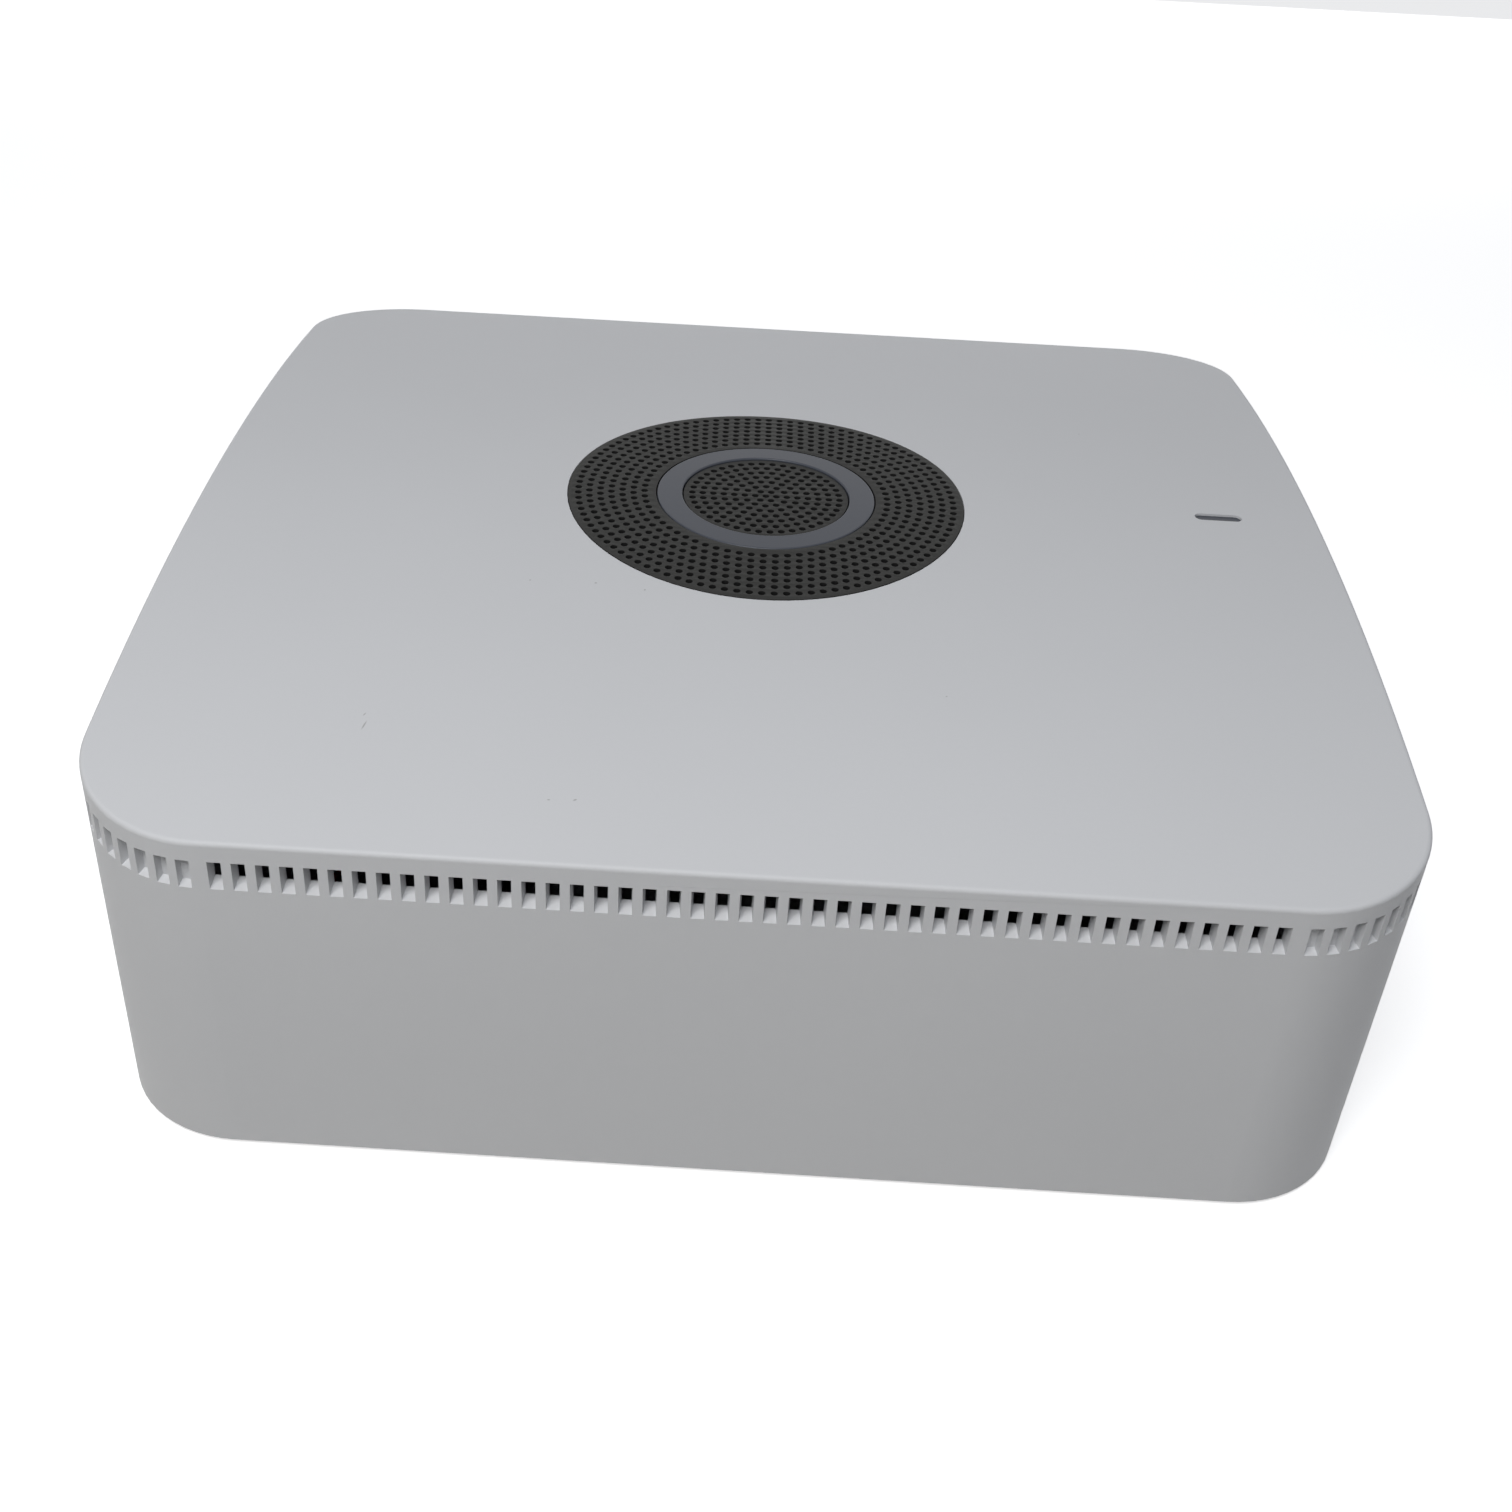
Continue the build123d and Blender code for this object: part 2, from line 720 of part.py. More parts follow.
def make_ring_reflector():
    top = top_z - ring_length
    bottom = top - reflector_depth
    body = ring(ring_inner_radius - reflector_wall, ring_outer_radius + reflector_wall, bottom, top)
    body -= ring(ring_inner_radius, ring_outer_radius, bottom + reflector_wall, top + past)
    return body.cut(*led_spots(led_size + 2 * led_play, bottom - past, top))


def make_led_ring_board():
    top = carrier_top + led_board_thickness
    board = ring(carrier_inner_radius + led_board_margin, carrier_tray_radius - led_board_margin,
                 carrier_top, top)
    half = ribbon_width / 2 + led_board_tab_margin
    tab = block(ribbon_x - half, ribbon_x + half, carrier_inner_radius,
                basket_inner_radius - led_board_tab_reach, carrier_top, top)
    return board + tab


def make_ring_leds():
    bottom = carrier_top + led_board_thickness
    return led_spots(led_size, bottom, bottom + led_height)


def speaker_screw_places():
    return on_circle(speaker_screw_circle, speaker_screw_count, speaker_screw_turn)


def make_ring_carrier():
    tray = ring(carrier_inner_radius, carrier_tray_radius, carrier_bottom, carrier_top)
    body = [ring(basket_inner_radius, carrier_rim_radius, carrier_bottom, carrier_top)]
    spoke = block(carrier_tray_radius - spoke_overlap, basket_inner_radius + spoke_overlap, -spoke_width / 2,
                  spoke_width / 2, carrier_bottom, carrier_top)
    body += [Rot(0, 0, 360.0 * i / carrier_spokes) * spoke for i in range(carrier_spokes)]
    boss_top = carrier_top + boss_height
    body += [disc(post_radius, carrier_bottom, boss_top, x, y) for x, y in speaker_screw_places()]
    carrier = tray.fuse(*body)
    screw_pass = screw_radius + screw_pass_play
    screw_hole = screw_radius + screw_hole_play
    cut = [disc(screw_pass, 0, top_z, x, y) for x, y in on_circle(carrier_screw_circle, carrier_screw_count)]
    cut += [disc(screw_hole, carrier_bottom - past, top_z, x, y) for x, y in speaker_screw_places()]
    return carrier.cut(*cut)


def speaker_screw_holes():
    return [disc(screw_radius + screw_pass_play, 0, top_z, x, y) for x, y in speaker_screw_places()]


def make_speaker_gasket():
    return ring(basket_inner_radius, speaker_radius, speaker_top, carrier_bottom).cut(*speaker_screw_holes())


def make_speaker_basket():
    flange = ring(basket_inner_radius, speaker_radius, flange_bottom, speaker_top)
    floor_hole = coil_radius + basket_floor_lip
    floor_top = basket_bottom + basket_wall
    profile = Polyline((basket_inner_radius, speaker_top), (basket_inner_radius + basket_wall, speaker_top),
                       (basket_inner_radius + basket_wall, basket_knee),
                       (basket_foot_radius + basket_wall, basket_bottom), (floor_hole, basket_bottom),
                       (floor_hole, floor_top), (basket_foot_radius, floor_top),
                       (basket_inner_radius, basket_knee), close=True)
    wall_and_floor = revolve(Plane.XZ * make_face(profile), Axis.Z)
    terminals = block(-terminal_width / 2, terminal_width / 2, terminal_y,
                      -basket_inner_radius - basket_wall / 2, basket_knee, flange_bottom)
    basket = flange.fuse(wall_and_floor, terminals)
    window = block(basket_foot_radius + window_inset, basket_inner_radius + window_reach, -window_width / 2,
                   window_width / 2, basket_bottom + window_sill, basket_knee + past)
    turns = [speaker_screw_turn + 360.0 * i / basket_windows for i in range(basket_windows)]
    windows = [Rot(0, 0, turn) * window for turn in turns]
    return basket.cut(*speaker_screw_holes(), *windows)


def make_speaker_magnet():
    bottom = basket_bottom - magnet_height
    coil_slot = ring(coil_radius - coil_gap, coil_radius + coil_wall + coil_gap, bottom + magnet_plate,
                     basket_bottom + past)
    groove_inner = magnet_radius - magnet_groove_depth
    groove_outer = magnet_radius + past
    upper = ring(groove_inner, groove_outer, basket_bottom - magnet_plate,
                 basket_bottom - magnet_plate + magnet_groove)
    lower = ring(groove_inner, groove_outer, bottom + magnet_plate - magnet_groove, bottom + magnet_plate)
    return disc(magnet_radius, bottom, basket_bottom).cut(coil_slot, upper, lower)


def make_speaker_cone():
    profile = Polyline((cone_outer_radius, cone_top), (cone_outer_radius, cone_top - cone_wall),
                       (coil_radius + coil_wall, cone_throat - cone_wall),
                       (coil_radius, cone_throat - cone_wall),
                       (coil_radius, cone_throat), (coil_radius + coil_wall, cone_throat), close=True)
    cone = revolve(Plane.XZ * make_face(profile), Axis.Z)
    cap_z = cone_throat + cone_depth * (dust_cap_radius - coil_radius) / (cone_outer_radius - coil_radius)
    cap_sphere = (dust_cap_radius ** 2 + dust_cap_rise ** 2) / (2 * dust_cap_rise)
    bubble = Sphere(cap_sphere) - Sphere(cap_sphere - cone_wall)
    cap = Pos(0, 0, cap_z + dust_cap_rise - cap_sphere) * bubble
    cap = cap & disc(dust_cap_radius, cap_z - cap_skirt, cap_z + dust_cap_rise + past)
    return cone + cap


def make_voice_coil():
    top = cone_throat - cone_wall
    return ring(coil_radius, coil_radius + coil_wall, top - coil_length, top)


def make_speaker_spider():
    bottom = basket_bottom + spider_rise
    return ring(coil_radius + coil_wall, spider_radius, bottom, bottom + spider_thickness)


def make_speaker_surround():
    """Half-round rubber roll between the cone and the basket's flange."""
    inner = cone_outer_radius
    outer = basket_inner_radius - surround_clearance
    radius = (outer - inner) / 2
    middle = Pos((inner + outer) / 2, cone_top - cone_wall / 2)
    roll = middle * Circle(radius) - middle * Circle(radius - surround_lip)
    roll = roll & middle * Pos(0, radius / 2) * Rectangle(2 * radius, radius)
    return revolve(Plane.XZ * roll, Axis.Z)


def pocket_box(grow, bottom, top):
    half_x = battery_length / 2 + battery_play + grow
    half_y = battery_depth / 2 + battery_play + grow
    return block(-half_x, half_x, battery_y - half_y, battery_y + half_y, bottom, top)


def door_plan(grow, bottom, top):
    length = battery_length + 2 * (battery_play + door_margin + grow)
    breadth = battery_depth + 2 * (battery_play + door_margin + grow)
    return rounded_block(0, battery_y, length, breadth, door_corner + grow, bottom, top)


def hook_block(side, play, front, rear, bottom, top):
    """Block at one of the door's two hooks, measured from the pocket's rear edge."""
    half = hook_width / 2 + play
    return block(side * door_hook_x - half, side * door_hook_x + half, pocket_rear_y - front,
                 pocket_rear_y + rear, bottom, top)


def base_rim():
    """Rim that stands inside the skirt, open at the pillars and in front of the port panel."""
    outside = wall + base_gap
    rim = drafted_block(outside, base_top - rim_merge, rim_top)
    cut = [drafted_block(outside + base_rim_wall, base_top - past, rim_top + past)]
    for x, y in corners(base_screw_x, base_screw_y):
        cut.append(disc(pillar_radius + rim_pillar_gap, base_top - past, rim_top + past, x, y))
    panel_half = bay_width / 2 + panel_margin + rim_panel_gap
    cut.append(block(-panel_half, panel_half, panel_back_y - rim_bay_gap, depth, base_top - past,
                     rim_top + past))
    return rim.cut(*cut)


def keyhole_cuts():
    """Two keyholes: a round entry for a screw's head and a slot in front of it for the shank."""
    low, high = base_bottom - past, base_top + past
    slot_end = keyhole_y - keyhole_slot_length
    cuts = []
    for x in (-keyhole_spacing / 2, keyhole_spacing / 2):
        cuts.append(disc(keyhole_entry_radius, low, high, x, keyhole_y))
        slot = block(x - keyhole_slot_radius, x + keyhole_slot_radius, slot_end, keyhole_y, low, high)
        cuts.append(slot + disc(keyhole_slot_radius, low, high, x, slot_end))
    return cuts


def make_base_plate():
    low = base_bottom - past
    door_top = base_bottom + door_thickness
    added = [base_rim(), pocket_box(pocket_wall, base_bottom, pocket_top + pocket_wall)]
    added.append(door_plan(door_frame, base_bottom, door_top + door_frame_height))
    added += [disc(standoff_radius, base_bottom, board_bottom, x, y) for x, y in board_screw_places]
    added.append(disc(siren_radius + siren_saddle, base_bottom, base_top + siren_saddle_height, siren_x,
                      siren_y))
    base = drafted_block(wall + base_gap, base_bottom, base_top).fuse(*added)
    cut = [pocket_box(0, low, pocket_top), door_plan(door_gap, low, door_top + door_seat_gap)]
    cut += [hook_block(side, door_gap, past, hook_recess, base_bottom, door_top + hook_length + past)
            for side in (-1, 1)]
    for x, y in board_screw_places:
        cut.append(disc(screw_radius + screw_hole_play, board_top - short_screw_length - screw_hole_spare,
                        board_bottom + past, x, y))
    for x, y in corners(foot_x, foot_y):
        cut.append(disc(foot_radius + foot_play, low, base_bottom + foot_seat, x, y))
    for x, y in corners(base_screw_x, base_screw_y):
        cut.append(disc(screw_radius + screw_pass_play, low, base_top + past, x, y))
        cut.append(disc(screw_head_radius + screw_pass_play, low, base_bottom + base_screw_sink, x, y))
    cut += keyhole_cuts()
    cut.append(rounded_block(0, plate_y, plate_length + 2 * plate_gap, plate_width + 2 * plate_gap,
                             plate_corner + plate_gap, low, base_bottom + plate_sink + plate_thickness))
    cut.append(disc(siren_radius + siren_gap, base_top, base_top + siren_height, siren_x, siren_y))
    notch_half = wire_pitch + wire_radius
    cut.append(block(battery_plug_x - notch_half, battery_plug_x + notch_half, battery_rear_y,
                     battery_y + battery_depth, pocket_top - lead_notch, pocket_top))
    return base.cut(*cut)


def make_rubber_feet():
    feet = []
    for x, y in corners(foot_x, foot_y):
        foot = disc(foot_radius, 0, base_bottom + foot_seat, x, y)
        feet.append(chamfer(foot.edges().sort_by(Axis.Z)[0], foot_chamfer))
    return feet


def make_base_screws():
    head_z = base_bottom + base_screw_sink
    return [screw(x, y, head_z, base_screw_length, True) for x, y in corners(base_screw_x, base_screw_y)]


def make_battery_door():
    door_top = base_bottom + door_thickness
    hooks = [hook_block(side, 0, hook_thickness + door_gap, -door_gap, door_top - hook_root,
                        door_top + hook_length)
             for side in (-1, 1)]
    front = battery_y - battery_depth / 2 - battery_play - door_margin
    grip_y = front + door_grip_inset + door_grip_radius
    grip = disc(door_grip_radius, base_bottom - past, base_bottom + door_grip_depth, 0, grip_y)
    ribs = [slab(0, grip_y + dy, 2 * (door_grip_radius - grip_rib_pitch + grip_rib_width), grip_rib_width,
                 base_bottom + grip_rib_sink, base_bottom + grip_rib_sink + grip_rib_height)
            for dy in (-grip_rib_pitch, 0, grip_rib_pitch)]
    door = door_plan(0, base_bottom, door_top) - grip
    return door.fuse(*hooks, *ribs)


def make_backup_battery():
    bottom = base_bottom + door_thickness + battery_play
    pack = slab(0, battery_y, battery_length, battery_depth, bottom, bottom + battery_height)
    return fillet(pack.edges().filter_by(Axis.X), battery_edge_round)


def make_rating_plate():
    bottom = base_bottom + plate_sink
    return rounded_block(0, plate_y, plate_length, plate_width, plate_corner, bottom,
                         bottom + plate_thickness)


def panel_port(x, length, bottom, top):
    """Cutter for a square hole through the port panel."""
    return block(x - length / 2, x + length / 2, panel_back_y - past, panel_front_y + past, bottom, top)


def make_port_panel():
    half = bay_width / 2 + panel_margin
    panel = block(-half, half, panel_back_y, panel_front_y, base_top, bay_bottom + bay_height + panel_margin)
    low = board_top - port_play
    jack_top = board_top + jack_height + port_play
    cut = [panel_port(x, jack_width + 2 * port_play, low, jack_top) for x in jack_xs]
    cut.append(panel_port(inlet_x, inlet_width + 2 * port_play, low, board_top + inlet_height + port_play))
    for x, radius in ((setup_x, setup_cap_radius + button_gap), (reset_x, pinhole_radius)):
        cut.append(rear_disc(radius, x, button_z, panel_back_y - past, panel_front_y + past))
    card_z = board_top + card_slot_wall + card_play + card_thickness / 2
    cut.append(panel_port(card_x, card_width + 2 * card_mouth_play, card_z - card_mouth_height / 2,
                          card_z + card_mouth_height / 2))
    return panel.cut(*cut)


def make_main_board():
    board_depth = board_rear_y - board_front_y
    board = rounded_block(0, (board_front_y + board_rear_y) / 2, board_width, board_depth, board_corner,
                          board_bottom, board_top)
    holes = [disc(screw_radius + screw_pass_play, board_bottom - past, board_top + past, x, y)
             for x, y in board_screw_places]
    return board.cut(*holes)


def make_board_screws():
    return [screw(x, y, board_top, short_screw_length, False) for x, y in board_screw_places]


def make_carrier_screws():
    return [screw(x, y, carrier_bottom, short_screw_length, True)
            for x, y in on_circle(carrier_screw_circle, carrier_screw_count)]


def make_speaker_screws():
    return [screw(x, y, flange_bottom, short_screw_length, True) for x, y in speaker_screw_places()]


def make_network_jack(x):
    body = block(x - jack_width / 2, x + jack_width / 2, panel_front_y - jack_length, panel_front_y,
                 board_top, board_top + jack_height)
    sill = board_top + jack_socket_sill
    back = panel_front_y - jack_socket_depth
    front = panel_front_y + past
    socket = block(x - jack_socket_width / 2, x + jack_socket_width / 2, back, front, sill,
                   sill + jack_socket_height)
    latch = block(x - jack_latch_width / 2, x + jack_latch_width / 2, back, front, sill - jack_latch_height,
                  sill + past)
    return body - socket - latch


def make_jack_contacts():
    top = board_top + jack_socket_sill + jack_socket_height
    rear = panel_front_y - contact_inset
    contacts = []
    for x in jack_xs:
        for i in range(contact_count):
            contact_x = x + (i - (contact_count - 1) / 2) * contact_pitch
            contacts.append(block(contact_x - contact_thickness / 2, contact_x + contact_thickness / 2,
                                  rear - contact_length, rear, top - contact_drop, top))
    return contacts


def make_power_inlet():
    body = block(inlet_x - inlet_width / 2, inlet_x + inlet_width / 2, panel_front_y - inlet_length,
                 panel_front_y, board_top, board_top + inlet_height)
    z = board_top + inlet_height / 2
    return body - rear_disc(inlet_bore_radius, inlet_x, z, panel_front_y - inlet_bore_depth,
                            panel_front_y + past)


def make_power_pin():
    z = board_top + inlet_height / 2
    pin = rear_disc(inlet_pin_radius, inlet_x, z, panel_front_y - inlet_bore_depth,
                    panel_front_y - inlet_pin_inset)
    return fillet(pin.edges().sort_by(Axis.Y)[-1], inlet_pin_round)


def make_card_slot():
    top = board_top + card_thickness + 2 * card_play + 2 * card_slot_wall
    shell = block(card_x - card_slot_width / 2, card_x + card_slot_width / 2, card_slot_front_y,
                  card_slot_rear_y, board_top, top)
    half = card_width / 2 + card_play
    hollow = block(card_x - half, card_x + half, card_slot_front_y + card_slot_stop, card_slot_rear_y + past,
                   board_top + card_slot_wall, top - card_slot_wall)
    return shell - hollow


def make_memory_card():
    front = card_slot_front_y + card_slot_stop + card_play
    rear = front + card_length
    side = card_x + card_width / 2
    bottom = board_top + card_slot_wall + card_play
    top = bottom + card_thickness
    card = block(card_x - card_width / 2, side, front, rear, bottom, top)
    card -= block(side - card_notch_width, side + past, front - past, front + card_notch_length,
                  bottom - past, top + past)
    ridge_y = rear - card_ridge_inset - card_ridge_depth / 2
    return card + slab(card_x, ridge_y, card_ridge_width, card_ridge_depth, bottom, top + card_ridge_height)


def make_button_switch(x):
    half = button_body / 2
    body = block(x - half, x + half, switch_face_y - button_body_depth, switch_face_y, board_top,
                 button_z + half)
    return body - rear_disc(plunger_radius + plunger_play, x, button_z, switch_face_y - plunger_well,
                            switch_face_y + past)


def make_setup_button():
    cap = rear_disc(setup_cap_radius, setup_x, button_z, panel_back_y - setup_cap_root,
                    panel_front_y + setup_stand)
    cap = fillet(cap.edges().sort_by(Axis.Y)[-1], setup_edge_round)
    flange = rear_disc(setup_cap_radius + button_flange, setup_x, button_z,
                       panel_back_y - button_flange_thickness, panel_back_y)
    stem = rear_disc(setup_stem_radius, setup_x, button_z, switch_face_y + setup_stem_gap, panel_back_y)
    return cap + flange + stem


def make_plunger(x, travel):
    inner_end = switch_face_y - plunger_well + travel + plunger_floor_gap
    return rear_disc(plunger_radius, x, button_z, inner_end, switch_face_y + plunger_stand)


def make_processor():
    return slab(0, processor_y, processor_size, processor_size, board_top, board_top + processor_height)


def make_thermal_pad():
    bottom = board_top + processor_height
    return slab(0, processor_y, processor_size, processor_size, bottom, bottom + pad_thickness)


def make_heat_sink():
    bottom = board_top + processor_height + pad_thickness
    fin_pitch = (sink_width - fin_thickness) / (fin_count - 1)
    parts = [slab((i - (fin_count - 1) / 2) * fin_pitch, processor_y, fin_thickness, sink_depth,
                  bottom + sink_base - fin_root, bottom + sink_height) for i in range(fin_count)]
    for x, y in corners(sink_width / 2 - sink_leg_inset, sink_depth / 2 - sink_leg_inset):
        parts.append(disc(sink_leg_radius, board_top, bottom + sink_leg_root, x, processor_y + y))
    return slab(0, processor_y, sink_width, sink_depth, bottom, bottom + sink_base).fuse(*parts)


def make_radio_shields():
    top = board_top + can_height
    cans = []
    for x, y in can_places:
        hollow = slab(x, y, can_width - 2 * can_wall, can_depth - 2 * can_wall, board_top - past,
                      top - can_wall)
        cans.append(slab(x, y, can_width, can_depth, board_top, top) - hollow)
    return cans


def make_cellular_module():
    board = slab(can_x, front_cans_y, cell_width, cell_depth, board_top, board_top + cell_board)
    front = front_cans_y - cell_depth / 2 + cell_can_margin
    rear = front_cans_y + cell_depth / 2 - cell_plug_edge
    half = cell_width / 2 - cell_can_margin
    lid = block(can_x - half, can_x + half, front, rear, board_top + cell_board,
                board_top + cell_board + cell_can)
    return board + lid


def make_memory_chips():
    top = board_top + memory_height
    return [slab(x, memory_y, memory_width, memory_depth, board_top, top) for x in memory_xs]


def make_capacitors():
    cans = []
    for x in capacitor_xs:
        can = disc(capacitor_radius, board_top, board_top + capacitor_height, x, capacitor_y)
        cans.append(fillet(can.edges().sort_by(Axis.Z)[-1], capacitor_round))
    return cans


def make_sim_holder():
    length = sim_width + 2 * sim_holder_wall
    breadth = sim_depth + 2 * sim_holder_wall
    floor_z = board_top + sim_holder_wall
    top = floor_z + sim_thickness + sim_holder_wall
    body = slab(sim_x, sim_y, length, breadth, board_top, top)
    mouth = sim_y - breadth / 2 - past
    half = sim_width / 2 + sim_play
    tray = block(sim_x - half, sim_x + half, mouth, sim_y + sim_depth / 2 + sim_play, floor_z,
                 floor_z + sim_thickness)
    window = block(sim_x - sim_window_width / 2, sim_x + sim_window_width / 2, mouth,
                   sim_y + sim_window_reach, floor_z, top + past)
    return body - tray - window


def make_sim_card():
    bottom = board_top + sim_holder_wall
    return slab(sim_x, sim_y, sim_width, sim_depth, bottom, bottom + sim_thickness)


def make_siren():
    top = base_top + siren_height
    body = disc(siren_radius, base_top, top, siren_x, siren_y)
    body = fillet(body.edges().sort_by(Axis.Z)[-1], siren_edge_round)
    body -= disc(siren_radius - siren_wall, base_top + siren_wall, top - siren_wall, siren_x, siren_y)
    return body - disc(siren_port_radius, top - siren_wall - past, top + past, siren_x, siren_y)


def make_siren_disc():
    bottom = base_top + siren_wall + siren_disc_rise
    return disc(siren_radius - siren_wall, bottom, bottom + siren_disc_thickness, siren_x, siren_y)


def wall_face(span):
    """Distance from the middle to a wall's inner face at the antennas' lower edge."""
    return span / 2 - wall - lean * (top_z - antenna_z + antenna_height)


def make_antennas():
    half = antenna_length / 2
    z0, z1 = antenna_z - antenna_height / 2, antenna_z + antenna_height / 2
    side = wall_face(width) - antenna_glue
    front = wall_face(depth) - antenna_glue
    on_sides = [(-side, antenna_rear_y), (side - antenna_thickness, antenna_rear_y), (-side, antenna_front_y)]
    antennas = [block(x, x + antenna_thickness, y - half, y + half, z0, z1) for x, y in on_sides]
    antennas.append(block(-half, half, -front, -front + antenna_thickness, z0, z1))
    return antennas


def make_lead_plugs():
    top = board_top + plug_height
    plugs = [slab(x, plug_y + plug_depth / 2, plug_width, plug_depth, board_top, top) for x in plug_xs]
    plugs.append(slab(ribbon_x, ribbon_y, ribbon_width + 2 * ribbon_plug_margin, plug_depth, board_top, top))
    return plugs


def wire_pair(points):
    """Two wires side by side along X through the same points."""
    return [lead([(x + dx, y, z) for x, y, z in points], wire_radius, wire_bend)
            for dx in (-wire_pitch / 2, wire_pitch / 2)]


def make_battery_lead():
    start_z = pocket_top - lead_notch_drop
    return wire_pair([(battery_plug_x, battery_rear_y, start_z),
                      (battery_plug_x, battery_rear_y + battery_lead_run, start_z),
                      (battery_plug_x, plug_y - battery_lead_end, wire_z), (battery_plug_x, plug_y, wire_z)])


def make_speaker_lead():
    start_y = terminal_y + speaker_lead_inset
    end_y = plug_y - speaker_lead_end
    return wire_pair([(0, start_y, basket_knee), (0, start_y, basket_knee - speaker_lead_drop),
                      (speaker_plug_x, end_y, wire_z + speaker_lead_rise), (speaker_plug_x, end_y, wire_z),
                      (speaker_plug_x, plug_y, wire_z)])


def make_siren_lead():
    start_y = siren_y + siren_lead_offset
    start_z = base_top + siren_height
    over = start_z + siren_lead_rise
    return wire_pair([(siren_x, start_y, start_z), (siren_x, start_y, over),
                      (siren_plug_x, plug_y - siren_lead_run, over),
                      (siren_plug_x, plug_y - siren_lead_end, wire_z), (siren_plug_x, plug_y, wire_z)])


def make_ribbon_cable():
    start = carrier_top + led_board_thickness + ribbon_thickness / 2
    path = FilletPolyline((ribbon_x, carrier_tray_radius, start), (ribbon_x, ribbon_y, start),
                          (ribbon_x, ribbon_y, board_top + plug_height), radius=ribbon_bend)
    start_face = Plane(origin=path @ 0, x_dir=(1, 0, 0), z_dir=(0, 1, 0))
    return sweep(start_face * Rectangle(ribbon_width, ribbon_thickness), path=path)


def make_antenna_leads():
    """Thin coaxial leads from each antenna down to the can over its radio."""
    low = board_top + coax_height
    edge = antenna_z - antenna_height / 2
    side = wall_face(width) - coax_wall_gap
    front = wall_face(depth) - coax_wall_gap
    can_side = can_x + can_width / 2
    last_x = coax_side_step - can_x
    routes = [
        [(-side, rear_cans_y, edge), (-side, rear_cans_y, low), (-can_side, rear_cans_y, low)],
        [(side, rear_cans_y, edge), (side, rear_cans_y, low), (can_side, rear_cans_y, low)],
        [(-side, antenna_front_y, edge), (-side, antenna_front_y, low),
         (-can_side - coax_end_run, front_cans_y, low), (-can_side, front_cans_y, low)],
        [(coax_start_x, -front, edge), (coax_start_x, -front, low + coax_front_rise),
         (last_x, coax_front_step - front, low), (last_x, front_cans_y - can_depth / 2, low)],
    ]
    return [lead(route, coax_radius, coax_bend) for route in routes]


NODES = {
    "top_cover": make_top_cover,
    "grille_outer": make_grille_outer,
    "light_ring": make_light_ring,
    "grille_centre": make_grille_centre,
    "grille_cloth": make_grille_cloth,
    "status_light_pipe": make_status_light_pipe,
    "status_led_board": make_status_board,
    "status_leds": make_status_leds,
    "ring_reflector": make_ring_reflector,
    "led_ring_board": make_led_ring_board,
    "ring_leds": make_ring_leds,
    "ring_carrier": make_ring_carrier,
    "carrier_screws": make_carrier_screws,
    "speaker_gasket": make_speaker_gasket,
    "speaker_basket": make_speaker_basket,
    "speaker_magnet": make_speaker_magnet,
    "speaker_cone": make_speaker_cone,
    "voice_coil": make_voice_coil,
    "speaker_spider": make_speaker_spider,
    "speaker_surround": make_speaker_surround,
    "speaker_screws": make_speaker_screws,
    "base_plate": make_base_plate,
    "rubber_feet": make_rubber_feet,
    "base_screws": make_base_screws,
    "battery_door": make_battery_door,
    "backup_battery": make_backup_battery,
    "rating_plate": make_rating_plate,
    "port_panel": make_port_panel,
    "main_board": make_main_board,
    "board_screws": make_board_screws,
    "network_jack_left": lambda: make_network_jack(jack_xs[0]),
    "network_jack_right": lambda: make_network_jack(jack_xs[1]),
    "jack_contacts": make_jack_contacts,
    "power_inlet": make_power_inlet,
    "power_pin": make_power_pin,
    "card_slot": make_card_slot,
    "memory_card": make_memory_card,
    "setup_button": make_setup_button,
    "setup_switch": lambda: make_button_switch(setup_x),
    "setup_plunger": lambda: make_plunger(setup_x, setup_travel),
    "reset_switch": lambda: make_button_switch(reset_x),
    "reset_button": lambda: make_plunger(reset_x, reset_travel),
    "processor": make_processor,
    "thermal_pad": make_thermal_pad,
    "heat_sink": make_heat_sink,
    "radio_shields": make_radio_shields,
    "cellular_module": make_cellular_module,
    "memory_chips": make_memory_chips,
    "capacitors": make_capacitors,
    "sim_holder": make_sim_holder,
    "sim_card": make_sim_card,
    "siren_housing": make_siren,
    "siren_disc": make_siren_disc,
    "antennas": make_antennas,
    "antenna_leads": make_antenna_leads,
    "battery_lead": make_battery_lead,
    "speaker_lead": make_speaker_lead,
    "siren_lead": make_siren_lead,
    "ribbon_cable": make_ribbon_cable,
    "lead_plugs": make_lead_plugs,
}

os.makedirs("parts", exist_ok=True)
for name, make in NODES.items():
    shape = make()
    if isinstance(shape, list):
        shape = Compound(children=shape)
    export_step(shape, f"parts/{name}.step")
    print(name)
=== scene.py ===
import math

